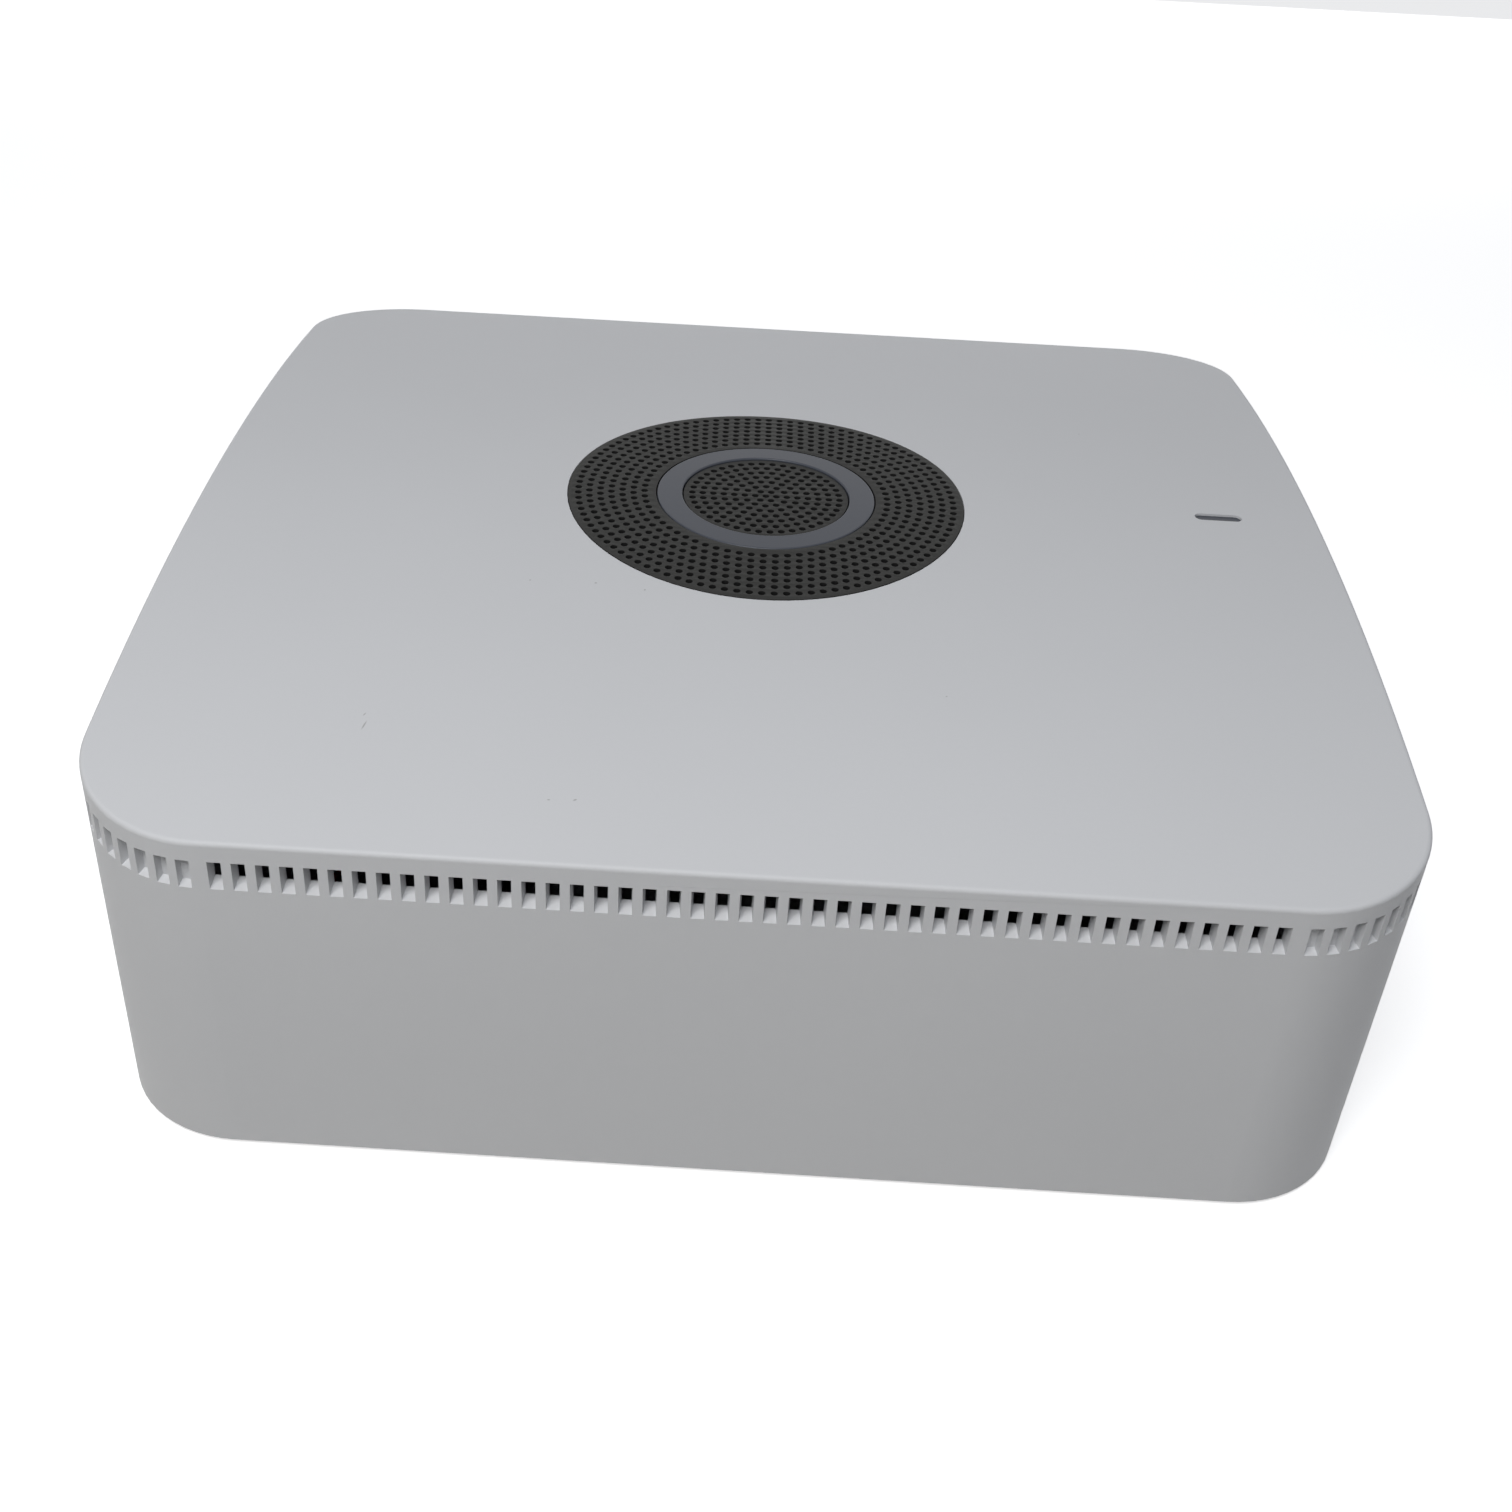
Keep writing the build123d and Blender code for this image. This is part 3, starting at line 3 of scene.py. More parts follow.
import bmesh
import bpy
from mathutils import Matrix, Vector


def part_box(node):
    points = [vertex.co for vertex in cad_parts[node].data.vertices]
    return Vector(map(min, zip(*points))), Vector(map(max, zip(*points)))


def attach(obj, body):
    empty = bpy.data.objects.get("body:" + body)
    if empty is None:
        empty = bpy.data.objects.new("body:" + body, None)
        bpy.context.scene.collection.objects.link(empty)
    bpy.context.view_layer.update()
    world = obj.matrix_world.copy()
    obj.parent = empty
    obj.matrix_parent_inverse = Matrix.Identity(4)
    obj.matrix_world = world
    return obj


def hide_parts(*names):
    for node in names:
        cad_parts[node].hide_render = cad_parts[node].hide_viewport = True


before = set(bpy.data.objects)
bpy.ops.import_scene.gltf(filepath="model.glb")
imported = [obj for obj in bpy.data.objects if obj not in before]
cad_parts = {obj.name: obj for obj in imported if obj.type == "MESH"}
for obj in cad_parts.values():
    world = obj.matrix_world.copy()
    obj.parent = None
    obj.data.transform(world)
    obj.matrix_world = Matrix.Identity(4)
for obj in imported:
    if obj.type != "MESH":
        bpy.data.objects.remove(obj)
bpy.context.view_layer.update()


# The base plate closes the housing from below. It and the battery door are matt white mouldings like the
# housing, from spark-eroded tools that leave a fine even grain. Handling leaves a few small specks and
# faint rub marks on them.

MICRON = 0.000001


def node(tree, kind, given=None, **settings):
    """A shader node with its settings. Its inputs are given as numbers or colours, or as sockets to link."""
    made = tree.nodes.new("ShaderNode" + kind)
    for key, value in settings.items():
        setattr(made, key, value)
    for name, value in (given or {}).items():
        if isinstance(value, bpy.types.NodeSocket):
            tree.links.new(value, made.inputs[name])
        else:
            made.inputs[name].default_value = value
    return made


def math_node(tree, operation, first, second):
    return node(tree, "Math", {0: first, 1: second}, operation=operation).outputs[0]


def effect(name, inputs, outputs):
    """An empty node group for an effect that several finishes share: its tree, its inputs and its exit."""
    tree = bpy.data.node_groups.new(name, "ShaderNodeTree")
    for label, value in inputs.items():
        socket = tree.interface.new_socket(name=label, in_out="INPUT", socket_type="NodeSocketFloat")
        socket.default_value = value
    for label in outputs:
        tree.interface.new_socket(name=label, in_out="OUTPUT", socket_type="NodeSocketFloat")
    entry = tree.nodes.new("NodeGroupInput")
    leave = tree.nodes.new("NodeGroupOutput")
    return tree, entry.outputs, leave.inputs


def use(tree, group, **values):
    """Places an effect in a finish, with its own values, and gives its outputs."""
    made = tree.nodes.new("ShaderNodeGroup")
    made.node_tree = group
    for label, value in values.items():
        made.inputs[label.replace("_", " ")].default_value = value
    return made.outputs


def finish(name, colour, roughness, metallic=0.0):
    """A new finish: its material, its tree and its shader's inputs."""
    made = bpy.data.materials.new(name)
    made.use_nodes = True
    shader = made.node_tree.nodes["Principled BSDF"]
    shader.inputs["Base Color"].default_value = (*colour, 1)
    shader.inputs["Roughness"].default_value = roughness
    shader.inputs["Metallic"].default_value = metallic
    return made, made.node_tree, shader.inputs


def blend_colours(tree, factor, first, second):
    """Mix of two colours, each given as three numbers or as a socket."""
    ends = [end if isinstance(end, bpy.types.NodeSocket) else (*end, 1) for end in (first, second)]
    mixed = node(tree, "Mix", {"Factor": factor, "A": ends[0], "B": ends[1]}, data_type="RGBA")
    return mixed.outputs["Result"]


def roughen(tree, shader, height, depth):
    """Lets a height shape the surface, to the given depth in metres."""
    bump = node(tree, "Bump", {"Strength": 1.0, "Distance": depth, "Height": height})
    tree.links.new(bump.outputs[0], shader["Normal"])


def dress(material, *names):
    """Gives CAD pieces their finish."""
    for name in names:
        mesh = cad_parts[name].data
        mesh.materials.clear()
        mesh.materials.append(material)


def eroded_grain():
    """Grain of a spark-eroded mould: rounded pits of one size, and a slow change of tone."""
    tree, entry, leave = effect("Eroded grain", {"Grain per metre": 2200.0, "Patches per metre": 14.0},
                                ("Height", "Tone"))
    place = node(tree, "TexCoord").outputs["Object"]
    fine = node(tree, "TexNoise", {"Vector": place, "Scale": entry["Grain per metre"], "Detail": 2.0,
                                   "Roughness": 0.6})
    pits = node(tree, "TexVoronoi", {"Vector": place, "Scale": entry["Grain per metre"]}, feature="SMOOTH_F1")
    slow = node(tree, "TexNoise", {"Vector": place, "Scale": entry["Patches per metre"], "Detail": 3.0})
    tree.links.new(math_node(tree, "ADD", fine.outputs["Fac"], pits.outputs["Distance"]), leave["Height"])
    tree.links.new(slow.outputs["Fac"], leave["Tone"])
    return tree


CLEAN_SHARE = 0.7
RUB_TURN = 0.7
RUB_STRETCH = (1.0, 16.0, 4.0)


def handling_marks():
    """Specks and rub marks, scattered thinly: each is a mask from 0 to 1."""
    tree, entry, leave = effect("Handling marks", {"Specks per metre": 45.0, "Speck size": 0.011,
                                                   "Rubs per metre": 22.0}, ("Specks", "Rubs"))
    place = node(tree, "TexCoord").outputs["Object"]
    cells = node(tree, "TexVoronoi", {"Vector": place, "Scale": entry["Specks per metre"]})
    near = math_node(tree, "LESS_THAN", cells.outputs["Distance"], entry["Speck size"])
    chance = node(tree, "SeparateColor", {"Color": cells.outputs["Color"]})
    some = math_node(tree, "GREATER_THAN", chance.outputs[0], CLEAN_SHARE)
    turned = node(tree, "Mapping", {"Vector": place, "Rotation": (0.0, 0.0, RUB_TURN), "Scale": RUB_STRETCH})
    streaks = node(tree, "TexNoise", {"Vector": turned.outputs[0], "Scale": entry["Rubs per metre"],
                                      "Detail": 4.0, "Roughness": 0.7})
    rubs = node(tree, "MapRange", {"Value": streaks.outputs["Fac"], "From Min": 0.62, "From Max": 0.75})
    tree.links.new(math_node(tree, "MULTIPLY", near, some), leave["Specks"])
    tree.links.new(rubs.outputs[0], leave["Rubs"])
    return tree


GRAIN = eroded_grain()
MARKS = handling_marks()
SPECK = (0.12, 0.11, 0.10)
SPECK_COVER = 0.75
RUB_POLISH = 0.09
MOULDING_SHADE = 0.955


def moulded(name, colour, roughness, grain, depth, marks=1.0, speck=SPECK):
    """Moulded plastic with an eroded grain, a slow change of tone, a few specks and faint rub marks.
    Gives the material, its tree, its shader's inputs and its colour."""
    material, tree, shader = finish(name, colour, roughness)
    skin = use(tree, GRAIN, Grain_per_metre=grain)
    worn = use(tree, MARKS)
    tone = blend_colours(tree, skin["Tone"], [c * MOULDING_SHADE for c in colour], colour)
    colour_share = math_node(tree, "MULTIPLY", worn["Specks"], SPECK_COVER * marks)
    dotted = blend_colours(tree, colour_share, tone, speck)
    shine = node(tree, "MapRange", {"Value": worn["Rubs"], "To Min": roughness,
                                    "To Max": roughness - RUB_POLISH * marks})
    tree.links.new(dotted, shader["Base Color"])
    tree.links.new(shine.outputs[0], shader["Roughness"])
    roughen(tree, shader, skin["Height"], depth)
    return material, tree, shader, dotted


BASE_WHITE = (0.60, 0.61, 0.625)
base_white = moulded("base_white", BASE_WHITE, roughness=0.55, grain=1700.0, depth=18 * MICRON)[0]
dress(base_white, "base_plate", "battery_door")


# The screws are zinc-plated steel with a hexagon socket, turned and rolled on an automatic lathe. Turning
# leaves fine rings on their heads, and the plating is cloudy. The tinned cans and the magnet share it.

LINE_STRETCH = (1.0, 0.05, 1.0)
CLOUD_SHINE = 0.08


def drawn_metal():
    """Fine lines that turning or rolling leaves along one direction, and the cloudiness of a plating."""
    tree, entry, leave = effect("Drawn metal", {"Lines per metre": 6000.0, "Clouds per metre": 400.0},
                                ("Lines", "Clouds"))
    place = node(tree, "TexCoord").outputs["Object"]
    pulled = node(tree, "Mapping", {"Vector": place, "Scale": LINE_STRETCH})
    lines = node(tree, "TexNoise", {"Vector": pulled.outputs[0], "Scale": entry["Lines per metre"],
                                    "Detail": 2.0})
    clouds = node(tree, "TexNoise", {"Vector": place, "Scale": entry["Clouds per metre"], "Detail": 4.0})
    tree.links.new(lines.outputs["Fac"], leave["Lines"])
    tree.links.new(clouds.outputs["Fac"], leave["Clouds"])
    return tree


DRAWN = drawn_metal()


def plated(name, colour, roughness, depth, darker=0.8, lines=6000.0):
    """Metal with fine lines, a cloudy plating and a roughness that follows the clouds."""
    material, tree, shader = finish(name, colour, roughness, 1.0)
    skin = use(tree, DRAWN, Lines_per_metre=lines)
    cloudy = blend_colours(tree, skin["Clouds"], [c * darker for c in colour], colour)
    tree.links.new(cloudy, shader["Base Color"])
    shine = node(tree, "MapRange", {"Value": skin["Clouds"], "From Min": 0.3, "From Max": 0.7,
                                    "To Min": roughness - CLOUD_SHINE, "To Max": roughness + CLOUD_SHINE})
    tree.links.new(shine.outputs[0], shader["Roughness"])
    roughen(tree, shader, skin["Lines"], depth)
    return material


screw_steel = plated("screw_steel", (0.52, 0.52, 0.54), roughness=0.32, depth=4 * MICRON)
dress(screw_steel, "base_screws", "board_screws", "carrier_screws", "speaker_screws")


# The four feet are soft grey silicone pads, moulded with a rounded edge and a shallow ring groove, and
# stuck into recesses in the base plate. They pick up dust and dull where they have stood.

MM = 0.001
FOOT_RADIUS = 9.0 * MM
FOOT_EDGE = 0.5 * MM
FOOT_EDGE_BEND = 0.3 * FOOT_EDGE
FOOT_GROOVE_RADIUS = 5.6 * MM
FOOT_GROOVE_WIDTH = 1.0 * MM
FOOT_GROOVE_DEPTH = 0.35 * MM
FOOT_STEPS = 72
MERGE_DISTANCE = 0.001 * MM
SMOOTH_ANGLE = math.radians(35)


def nothing_selected():
    for thing in bpy.context.selected_objects:
        thing.select_set(False)


def select_only(*things):
    nothing_selected()
    for thing in things:
        thing.select_set(True)
    bpy.context.view_layer.objects.active = things[0]


def turned_piece(name, outline, centre, steps):
    """A piece turned on an upright axis through centre, from (radius, height) points. It is closed."""
    mesh = bpy.data.meshes.new(name)
    mesh.from_pydata([(centre[0] + r, centre[1], z) for r, z in outline],
                     [(i, i + 1) for i in range(len(outline) - 1)], [])
    piece = bpy.data.objects.new(name, mesh)
    bpy.context.scene.collection.objects.link(piece)
    select_only(piece)
    bpy.ops.object.mode_set(mode="EDIT")
    bpy.ops.mesh.select_all(action="SELECT")
    bpy.ops.mesh.spin(steps=steps, angle=2 * math.pi, center=(centre[0], centre[1], 0.0), axis=(0, 0, 1))
    bpy.ops.mesh.select_all(action="SELECT")
    bpy.ops.mesh.remove_doubles(threshold=MERGE_DISTANCE)
    bpy.ops.mesh.normals_make_consistent(inside=False)
    bpy.ops.object.mode_set(mode="OBJECT")
    bpy.ops.object.shade_smooth_by_angle(angle=SMOOTH_ANGLE)
    return piece


def joined(name, pieces):
    """Several meshes as one piece."""
    select_only(*pieces)
    if len(pieces) > 1:
        bpy.ops.object.join()
    pieces[0].name = name
    pieces[0].data.name = name
    return pieces[0]


feet_low, feet_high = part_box("rubber_feet")
FOOT_OUTLINE = [
    (0.0, 0.0), (FOOT_GROOVE_RADIUS - FOOT_GROOVE_WIDTH / 2, 0.0),
    (FOOT_GROOVE_RADIUS - FOOT_GROOVE_WIDTH / 4, FOOT_GROOVE_DEPTH),
    (FOOT_GROOVE_RADIUS + FOOT_GROOVE_WIDTH / 4, FOOT_GROOVE_DEPTH),
    (FOOT_GROOVE_RADIUS + FOOT_GROOVE_WIDTH / 2, 0.0), (FOOT_RADIUS - FOOT_EDGE, 0.0),
    (FOOT_RADIUS - FOOT_EDGE_BEND, FOOT_EDGE_BEND), (FOOT_RADIUS, FOOT_EDGE), (FOOT_RADIUS, feet_high.z),
    (0.0, feet_high.z)]
feet = []
for foot_x in (feet_low.x + FOOT_RADIUS, feet_high.x - FOOT_RADIUS):
    for foot_y in (feet_low.y + FOOT_RADIUS, feet_high.y - FOOT_RADIUS):
        feet.append(turned_piece("foot", FOOT_OUTLINE, (foot_x, foot_y), FOOT_STEPS))
silicone_feet = joined("silicone_feet", feet)


DUST = (0.45, 0.44, 0.42)
DUST_PATCHES = 160.0


def soft_rubber(name, colour, roughness, grain, depth, dust):
    """Soft rubber or foam: a fine open grain, with dust caught in it."""
    material, tree, shader = finish(name, colour, roughness)
    skin = use(tree, GRAIN, Grain_per_metre=grain, Patches_per_metre=DUST_PATCHES)
    dusty = node(tree, "MapRange", {"Value": skin["Tone"], "From Min": 0.45, "From Max": 0.7, "To Max": dust})
    tree.links.new(blend_colours(tree, dusty.outputs[0], colour, DUST), shader["Base Color"])
    roughen(tree, shader, skin["Height"], depth)
    return material


rubber_grey = soft_rubber("rubber_grey", (0.30, 0.30, 0.31),
                          roughness=0.75, grain=3000.0, depth=20 * MICRON, dust=0.35)
rubber_black = soft_rubber("rubber_black", (0.024, 0.024, 0.025),
                           roughness=0.7, grain=2600.0, depth=10 * MICRON, dust=0.05)
foam_black = soft_rubber("foam_black", (0.03, 0.03, 0.03),
                         roughness=0.95, grain=1500.0, depth=120 * MICRON, dust=0.08)
pad_grey = soft_rubber("pad_grey", (0.36, 0.38, 0.42),
                       roughness=0.6, grain=3500.0, depth=8 * MICRON, dust=0.1)
silicone_feet.data.materials.append(rubber_grey)
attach(silicone_feet, "housing")
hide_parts("rubber_feet")
dress(rubber_black, "speaker_surround")
dress(foam_black, "speaker_gasket")
dress(pad_grey, "thermal_pad")


# The rating plate is a bare satin film in its recess under the base. The battery is a pack of cells in
# blue shrink film, which follows the cells and shows faint waves.

FILM_SHADE = 0.9


def film(name, colour, roughness, waves, depth, coat=0.0):
    """Smooth film or extruded insulation, with slow waves and a little dust."""
    material, tree, shader = finish(name, colour, roughness)
    shader["Coat Weight"].default_value = coat
    shader["Coat Roughness"].default_value = 0.15
    skin = use(tree, GRAIN, Grain_per_metre=waves, Patches_per_metre=waves / 4)
    tone = blend_colours(tree, skin["Tone"], [c * FILM_SHADE for c in colour], colour)
    tree.links.new(tone, shader["Base Color"])
    roughen(tree, shader, skin["Tone"], depth)
    return material


label_film = film("label_film", (0.66, 0.67, 0.68), roughness=0.36, waves=500.0, depth=10 * MICRON)
battery_wrap = film("battery_wrap", (0.03, 0.11, 0.27),
                    roughness=0.3, waves=220.0, depth=200 * MICRON, coat=0.3)
dress(label_film, "rating_plate")
dress(battery_wrap, "backup_battery")


# The main board and the boards of the lights are glass-fibre laminate with copper tracks under green
# solder mask. The tracks stand a little proud, and gold-plated pads show where the mask is open.

PAD_SIZE = 0.16
TRACK_HEIGHT = 30 * MICRON


def copper_tracks():
    """Tracks and round pads of a printed board, as masks from 0 to 1."""
    tree, entry, leave = effect("Copper tracks", {"Tracks per metre": 420.0}, ("Tracks", "Pads"))
    place = node(tree, "TexCoord").outputs["Object"]
    runs = node(tree, "TexBrick", {"Vector": place, "Scale": entry["Tracks per metre"], "Mortar Size": 0.06,
                                   "Mortar Smooth": 0.2, "Brick Width": 1.7, "Row Height": 0.45})
    dots = node(tree, "TexVoronoi", {"Vector": place, "Scale": entry["Tracks per metre"], "Randomness": 0.7})
    tree.links.new(runs.outputs["Fac"], leave["Tracks"])
    tree.links.new(math_node(tree, "LESS_THAN", dots.outputs["Distance"], PAD_SIZE), leave["Pads"])
    return tree


TRACKS = copper_tracks()
MASK_GREEN = (0.010, 0.085, 0.040)
TRACK_GREEN = (0.022, 0.150, 0.070)
PAD_GOLD = (0.75, 0.55, 0.22)
circuit_board, board_tree, board_shader = finish("circuit_board", MASK_GREEN, roughness=0.28)
laid = use(board_tree, TRACKS)
masked = blend_colours(board_tree, laid["Tracks"], MASK_GREEN, TRACK_GREEN)
board_tree.links.new(blend_colours(board_tree, laid["Pads"], masked, PAD_GOLD), board_shader["Base Color"])
board_tree.links.new(laid["Pads"], board_shader["Metallic"])
copper = math_node(board_tree, "ADD", laid["Tracks"], laid["Pads"])
roughen(board_tree, board_shader, copper, TRACK_HEIGHT)
dress(circuit_board, "main_board", "led_ring_board", "status_led_board")


# On the board stand black epoxy chips, cans of tinned sheet over the radios, aluminium capacitors, an
# extruded heat sink, and a white card in its black holder. The siren is a brass disc in a black cup.

DUSTY_SPECK = (0.20, 0.20, 0.19)
chip_black = moulded("chip_black", (0.028, 0.028, 0.032),
                     roughness=0.5, grain=5000.0, depth=6 * MICRON, marks=0.3)[0]
shield_tin = plated("shield_tin", (0.66, 0.66, 0.67), roughness=0.3, depth=3 * MICRON)
sink_aluminium = plated("sink_aluminium", (0.74, 0.75, 0.77),
                        roughness=0.36, depth=12 * MICRON, darker=0.85, lines=3500.0)
capacitor_can = plated("capacitor_can", (0.70, 0.70, 0.72), roughness=0.24, depth=2 * MICRON)
contact_gold = plated("contact_gold", (0.83, 0.62, 0.26), roughness=0.22, depth=2 * MICRON, darker=0.88)
sim_white = moulded("sim_white", (0.70, 0.70, 0.68),
                    roughness=0.45, grain=3000.0, depth=4 * MICRON, marks=0.5)[0]
frame_black = moulded("frame_black", (0.030, 0.030, 0.031),
                      roughness=0.48, grain=2400.0, depth=10 * MICRON, marks=0.6, speck=DUSTY_SPECK)[0]
dress(chip_black, "processor", "memory_chips")
dress(shield_tin, "radio_shields", "cellular_module", "card_slot")
dress(sink_aluminium, "heat_sink")
dress(capacitor_can, "capacitors")
dress(sim_white, "sim_card")
dress(frame_black, "sim_holder", "siren_housing")
dress(contact_gold, "siren_disc")


# The port panel is a dark moulding set back in the rear wall. Behind it on the board sit two network
# sockets in tinned shells, the power inlet, the slot of the memory card and the switches of the buttons.

LIGHT_WIDTH = 2.6 * MM
LIGHT_HEIGHT = 1.5 * MM
LIGHT_FROM_EDGE = 0.9 * MM
LIGHT_STAND = 0.12 * MM
LIGHT_DEPTH = 2.0 * MM
LIGHT_BEVEL = 0.25 * MM
LIGHT_BEVEL_STEPS = 3


def socket_light(x, z, face):
    """The rounded end of a light pipe in the corner of a socket's face."""
    nothing_selected()
    bpy.ops.mesh.primitive_cube_add(size=1.0, location=(x, face + LIGHT_STAND - LIGHT_DEPTH / 2, z),
                                    scale=(LIGHT_WIDTH, LIGHT_DEPTH, LIGHT_HEIGHT))
    light = bpy.context.active_object
    bpy.ops.object.transform_apply(location=True, rotation=False, scale=True)
    bpy.ops.object.mode_set(mode="EDIT")
    bpy.ops.mesh.select_mode(type="EDGE")
    bpy.ops.mesh.select_all(action="DESELECT")
    bpy.ops.object.mode_set(mode="OBJECT")
    for edge in light.data.edges:
        ends = [light.data.vertices[i].co.y for i in edge.vertices]
        edge.select = min(ends) > face
    bpy.ops.object.mode_set(mode="EDIT")
    bpy.ops.mesh.bevel(offset=LIGHT_BEVEL, segments=LIGHT_BEVEL_STEPS)
    bpy.ops.object.mode_set(mode="OBJECT")
    bpy.ops.object.shade_smooth_by_angle(angle=SMOOTH_ANGLE)
    return light


CLEAR_ROUGHNESS = 0.2
CLEAR_SHADE = 0.8
HAZE_REACH = 2.0 * MM


def clear_moulding(name, colour):
    """Clear moulding over a coloured light: tinted, with a soft haze of its own."""
    material, tree, shader = finish(name, colour, CLEAR_ROUGHNESS)
    shader["Subsurface Weight"].default_value = 0.3
    shader["Subsurface Radius"].default_value = (HAZE_REACH, HAZE_REACH, HAZE_REACH)
    skin = use(tree, GRAIN, Grain_per_metre=1200.0, Patches_per_metre=600.0)
    tone = blend_colours(tree, skin["Tone"], [c * CLEAR_SHADE for c in colour], colour)
    tree.links.new(tone, shader["Base Color"])
    roughen(tree, shader, skin["Tone"], 4 * MICRON)
    return material


link_green = clear_moulding("link_green", (0.10, 0.34, 0.16))
activity_amber = clear_moulding("activity_amber", (0.55, 0.32, 0.08))
led_clear = clear_moulding("led_clear", (0.75, 0.72, 0.50))
for side in ("left", "right"):
    jack_low, jack_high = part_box("network_jack_" + side)
    light_z = jack_high.z - LIGHT_FROM_EDGE / 2 - LIGHT_HEIGHT / 2
    inward = LIGHT_FROM_EDGE + LIGHT_WIDTH / 2
    for colour, light_x in ((link_green, jack_low.x + inward), (activity_amber, jack_high.x - inward)):
        light = socket_light(light_x, light_z, jack_high.y)
        light.name = "socket_light_" + side + "_" + colour.name
        light.data.name = light.name
        light.data.materials.append(colour)
        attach(light, "housing")

panel_grey = moulded("panel_grey", (0.052, 0.053, 0.056),
                     roughness=0.5, grain=1900.0, depth=15 * MICRON, marks=0.8, speck=DUSTY_SPECK)[0]
button_grey = moulded("button_grey", (0.25, 0.26, 0.27),
                      roughness=0.42, grain=2400.0, depth=8 * MICRON, marks=0.6)[0]
card_black = moulded("card_black", (0.022, 0.022, 0.024),
                     roughness=0.4, grain=4000.0, depth=4 * MICRON, marks=0.4, speck=(0.2, 0.2, 0.2))[0]
dress(panel_grey, "port_panel")
dress(shield_tin, "network_jack_left", "network_jack_right")
dress(contact_gold, "jack_contacts", "power_pin")
dress(frame_black, "power_inlet", "setup_switch", "reset_switch")
dress(button_grey, "setup_button", "setup_plunger", "reset_button")
dress(card_black, "memory_card")


# The leads inside are thin PVC wires in pairs, grey coaxial leads and one white ribbon. Their plugs are
# nylon. The antennas are copper patterns on thin board, stuck to the walls.

WIRE_REDS = ((0.24, 0.013, 0.011), (0.30, 0.016, 0.013))
WIRE_BLACKS = ((0.018, 0.018, 0.018), (0.030, 0.030, 0.030))
PLACE_DIGITS = 6


def wire_colours():
    """PVC insulation of a pair of wires: red on the first one, black on the one marked as second_wire."""
    material, tree, shader = finish("wire_red_black", (0.05, 0.05, 0.05), roughness=0.38)
    skin = use(tree, GRAIN, Grain_per_metre=900.0, Patches_per_metre=300.0)
    red = blend_colours(tree, skin["Tone"], *WIRE_REDS)
    black = blend_colours(tree, skin["Tone"], *WIRE_BLACKS)
    side = node(tree, "Attribute", attribute_name="second_wire")
    tree.links.new(blend_colours(tree, side.outputs["Fac"], red, black), shader["Base Color"])
    roughen(tree, shader, skin["Tone"], 6 * MICRON)
    return material


def tell_wires_apart(name):
    """Marks the corners of the second wire of a pair, so that it can be given the other colour."""
    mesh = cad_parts[name].data
    shell = bmesh.new()
    shell.from_mesh(mesh)
    shell.verts.ensure_lookup_table()
    mark = mesh.attributes.new("second_wire", "FLOAT", "POINT")
    places = {}
    for vertex in shell.verts:
        places.setdefault(tuple(round(c, PLACE_DIGITS) for c in vertex.co), []).append(vertex)
    seen, wires = set(), []
    for start in shell.verts:
        if start.index in seen:
            continue
        seen.add(start.index)
        wire, waiting = [], [start]
        while waiting:
            vertex = waiting.pop()
            wire.append(vertex.index)
            touching = [edge.other_vert(vertex) for edge in vertex.link_edges]
            touching += places[tuple(round(c, PLACE_DIGITS) for c in vertex.co)]
            for other in touching:
                if other.index not in seen:
                    seen.add(other.index)
                    waiting.append(other)
        wires.append(wire)
    second = set(wires[-1])
    for i in range(len(mesh.vertices)):
        mark.data[i].value = 1.0 if i in second else 0.0
    shell.free()


wire_red_black = wire_colours()
for pair in ("battery_lead", "speaker_lead", "siren_lead"):
    tell_wires_apart(pair)
coax_grey = film("coax_grey", (0.16, 0.16, 0.165), roughness=0.34, waves=900.0, depth=10 * MICRON)
ribbon_white = film("ribbon_white", (0.68, 0.68, 0.64), roughness=0.3, waves=400.0, depth=20 * MICRON)
plug_white = moulded("plug_white", (0.68, 0.67, 0.61),
                     roughness=0.5, grain=2600.0, depth=6 * MICRON, marks=0.4)[0]
antenna_copper = plated("antenna_copper", (0.72, 0.42, 0.24), roughness=0.34, depth=4 * MICRON)
dress(wire_red_black, "battery_lead", "speaker_lead", "siren_lead")
dress(coax_grey, "antenna_leads")
dress(ribbon_white, "ribbon_cable")
dress(plug_white, "lead_plugs")
dress(antenna_copper, "antennas")


# The speaker has a moulded basket, a zinc-grey magnet, a black pulp cone with a dust cap, and a varnished
# cloth spider. The pulp is pressed wet on a screen, so it keeps short fibres in its surface.

FIBRE_TURNS = (0.3, 1.4, 2.5)
FIBRE_STRETCH = (1.0, 0.12, 1.0)
PULP_DARK = (0.018, 0.017, 0.016)
PULP_LIGHT = (0.05, 0.048, 0.045)


def pressed_pulp():
    """Paper pulp with short fibres that lie every way."""
    material, tree, shader = finish("cone_paper", (0.024, 0.023, 0.022), roughness=0.85)
    place = node(tree, "TexCoord").outputs["Object"]
    heights = []
    for turn in FIBRE_TURNS:
        lying = node(tree, "Mapping", {"Vector": place, "Rotation": (0.0, 0.0, turn),
                                       "Scale": FIBRE_STRETCH})
        fibre = node(tree, "TexNoise", {"Vector": lying.outputs[0], "Scale": 3200.0, "Detail": 2.0})
        heights.append(fibre.outputs["Fac"])
    pulp = math_node(tree, "MAXIMUM", math_node(tree, "MAXIMUM", heights[0], heights[1]), heights[2])
    lit = node(tree, "MapRange", {"Value": pulp, "From Min": 0.5, "From Max": 0.8})
    tree.links.new(blend_colours(tree, lit.outputs[0], PULP_DARK, PULP_LIGHT), shader["Base Color"])
    roughen(tree, shader, pulp, 60 * MICRON)
    return material


